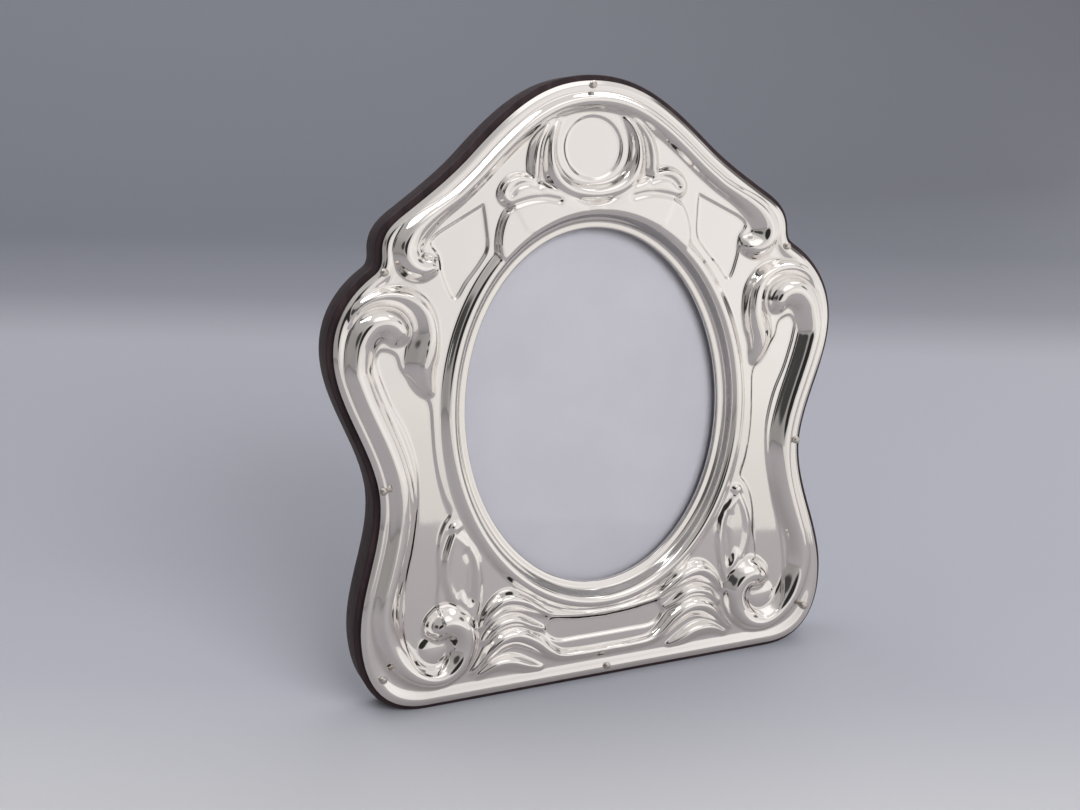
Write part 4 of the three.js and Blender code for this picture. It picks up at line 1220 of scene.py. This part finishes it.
# The way along which the floor's painted shade runs, then the slant and the edge of the pale patch that
# glows only for the silver, as a painted reflection.
SHADE_WAY = (0.365, 0.931)
GLOW_SLANT = 1.34
GLOW_EDGE = (0.501, 0.509)


def studio_sweep():
    """A grey floor that curves up into a backdrop, with painted shade: light just in front of the frame,
    darker under it, darkest at the back and up the backdrop.

    Silver sees it darker, and sees in front of the frame a pale patch of the floor that glows for glossy
    rays alone, as a painted reflection.
    """
    floor = linked("studio_floor", bpy.data.meshes.new("studio_floor"))
    profile = [(-FLOOR_REACH, 0.0), (SWEEP_START, 0.0)]
    for turn in np.linspace(0.1, math.pi / 2, 15):
        along, up = math.sin(turn), 1.0 - math.cos(turn)
        profile.append((SWEEP_START + SWEEP_RADIUS * along, SWEEP_RADIUS * up))
    profile.append((SWEEP_START + SWEEP_RADIUS, SWEEP_TOP))
    points = [(x, y, z) for y, z in profile for x in (-FLOOR_REACH, FLOOR_REACH)]
    faces = [(2 * k, 2 * k + 1, 2 * k + 3, 2 * k + 2) for k in range(len(profile) - 1)]
    floor.data.from_pydata(points, [], faces)
    floor.data.shade_smooth()
    finish = new_finish("studio_grey")
    place = finish.add("TexCoord", output="Object")
    across = along_axis(finish, place, "X")
    along = along_axis(finish, place, "Y")
    # Painted shade: the grey runs from light in front of the frame to dark at the back and on the backdrop.
    grey = ramp(
        finish, span(finish, across * SHADE_WAY[0] + along * SHADE_WAY[1], -0.2, 0.8),
        (0.06, (0.48, 0.485, 0.5)), (0.16, (0.352, 0.362, 0.412)), (0.25, (0.332, 0.343, 0.395)),
        (0.55, (0.352, 0.362, 0.412)), (0.66, (0.225, 0.234, 0.272)), (0.84, (0.172, 0.183, 0.218)),
    )
    # Painted reflection: glossy rays see the floor as a fixed darker grey.
    glossy = finish.add("LightPath", output="Is Glossy Ray")
    colour = blended(finish, glossy, grey, (0.285, 0.271, 0.283, 1.0))
    matt = finish.add("BsdfPrincipled", {"Base Color": colour, "Roughness": 0.6})
    # Painted reflection: a pale patch in front of the frame, lighter to the right, that glows only for
    # glossy rays so that the silver mirrors it.
    pale = ramp(
        finish, span(finish, across, 0.0, 1.0), (0.1, (0.7, 0.668, 0.642)), (0.75, (0.85, 0.815, 0.775))
    )
    card = finish.add("Emission", {"Color": pale, "Strength": 1.0})
    ahead = eased(finish, across * GLOW_SLANT - along, *GLOW_EDGE)
    shader = finish.add("MixShader", {"Fac": ahead * glossy, 1: matt, 2: card})
    floor.data.materials.append(ended(finish, shader))


studio_sweep()

CAMERA_PLACE = Vector((-0.1623, -0.3817, 0.2302))
CAMERA_AHEAD = Vector((0.34494, 0.87872, -0.33001))
CAMERA_RIGHT = Vector((0.93333, -0.35839, 0.02130))

camera_data = bpy.data.cameras.new("camera")
camera = linked("camera", camera_data)
camera_data.sensor_width = 36.0
camera_data.lens = 43.33
turn = Matrix((CAMERA_RIGHT, CAMERA_RIGHT.cross(CAMERA_AHEAD), -CAMERA_AHEAD)).transposed()
camera.matrix_world = Matrix.Translation(CAMERA_PLACE) @ turn.to_4x4()
bpy.context.scene.camera = camera


def compass(azimuth, elevation):
    """The way by degrees: azimuth from the front to the right, elevation from the horizon up."""
    turn, climb = math.radians(azimuth), math.radians(elevation)
    return Vector((math.sin(turn) * math.cos(climb), -math.cos(turn) * math.cos(climb), math.sin(climb)))


# Patches of the surroundings, as [azimuth, elevation, half angle, soft edge, share, level]:
# a pale one overhead, and dark ones as behind a camera

PATCHES = (
    (15, 63, 15.0, 9.0, 0.9, 1.15),
    (-23, 19, 14.0, 6.0, 0.97, 0.01),
    (-64, 22, 9.0, 6.0, 0.85, 0.01),
    (82, 30, 6.0, 5.0, 0.8, 0.01),
)


def tone(level):
    """A faintly warm grey."""
    return (level, 0.962 * level, 0.94 * level)


def studio_world():
    """Soft surroundings, pale in front and to the right, with their patches."""
    world = bpy.data.worlds.new("studio")
    bpy.context.scene.world = world
    finish = Finish(world)
    way = finish.add("TexCoord", output="Generated")
    across = along_axis(finish, way, "X")
    along = along_axis(finish, way, "Y")
    up = along_axis(finish, way, "Z")
    around = across.math("ARCTAN2", across, 0.0 - along) * (0.5 / math.pi) + 0.5

    def by_azimuth(*stops):
        return ramp(finish, around, *[(0.5 + azimuth / 360.0, tone(level)) for azimuth, level in stops])

    low = by_azimuth(
        (-110, 0.3), (-60, 0.28), (-30, 0.38), (-10, 0.6), (15, 0.77), (35, 0.9), (70, 0.8), (120, 0.76),
    )
    high = by_azimuth((-60, 0.4), (0, 0.58), (50, 0.72))
    bright = blended(finish, eased(finish, up, 0.35, 0.7), low, high)
    bright = blended(finish, eased(finish, up, 0.8, 0.96), bright, (*tone(0.7), 1.0))
    for azimuth, elevation, wide, soft, share, level in PATCHES:
        centre = compass(azimuth, elevation)
        facing = finish.add("VectorMath", {0: way, 1: centre}, "Value", operation="DOT_PRODUCT")
        edge = math.cos(math.radians(wide + soft))
        patch = eased(finish, facing, edge, math.cos(math.radians(wide)))
        bright = blended(finish, patch * share, bright, (*tone(level), 1.0))
    seen = finish.add("LightPath", output="Is Camera Ray")
    shown = blended(finish, seen, bright, (0.4, 0.41, 0.47, 1.0))
    background = finish.add("Background", {"Color": shown, "Strength": 1.0})
    finish.add("OutputWorld", {"Surface": background})


studio_world()

LAMP_TARGET = Vector((0.0, 0.0, 0.08))


def softbox(name, place, size, power, mirrored_in_metal=True):
    """A soft lamp that points at the frame."""
    lamp = bpy.data.lights.new(name, "AREA")
    lamp.shape = "RECTANGLE"
    lamp.size, lamp.size_y = size
    lamp.energy = power
    holder = linked(name, lamp)
    way = LAMP_TARGET - Vector(place)
    holder.matrix_world = Matrix.Translation(place) @ way.to_track_quat("-Z", "Y").to_matrix().to_4x4()
    holder.visible_glossy = mirrored_in_metal


softbox("back_left_softbox", (-0.5, 0.4, 1.15), (0.9, 0.6), 4.7)
softbox("back_right_softbox", (0.55, 0.45, 1.15), (0.9, 0.6), 3.7)
softbox("front_fill", (0.4, -1.5, 1.05), (1.2, 1.0), 24.0, False)

bpy.context.scene.view_settings.view_transform = "Standard"
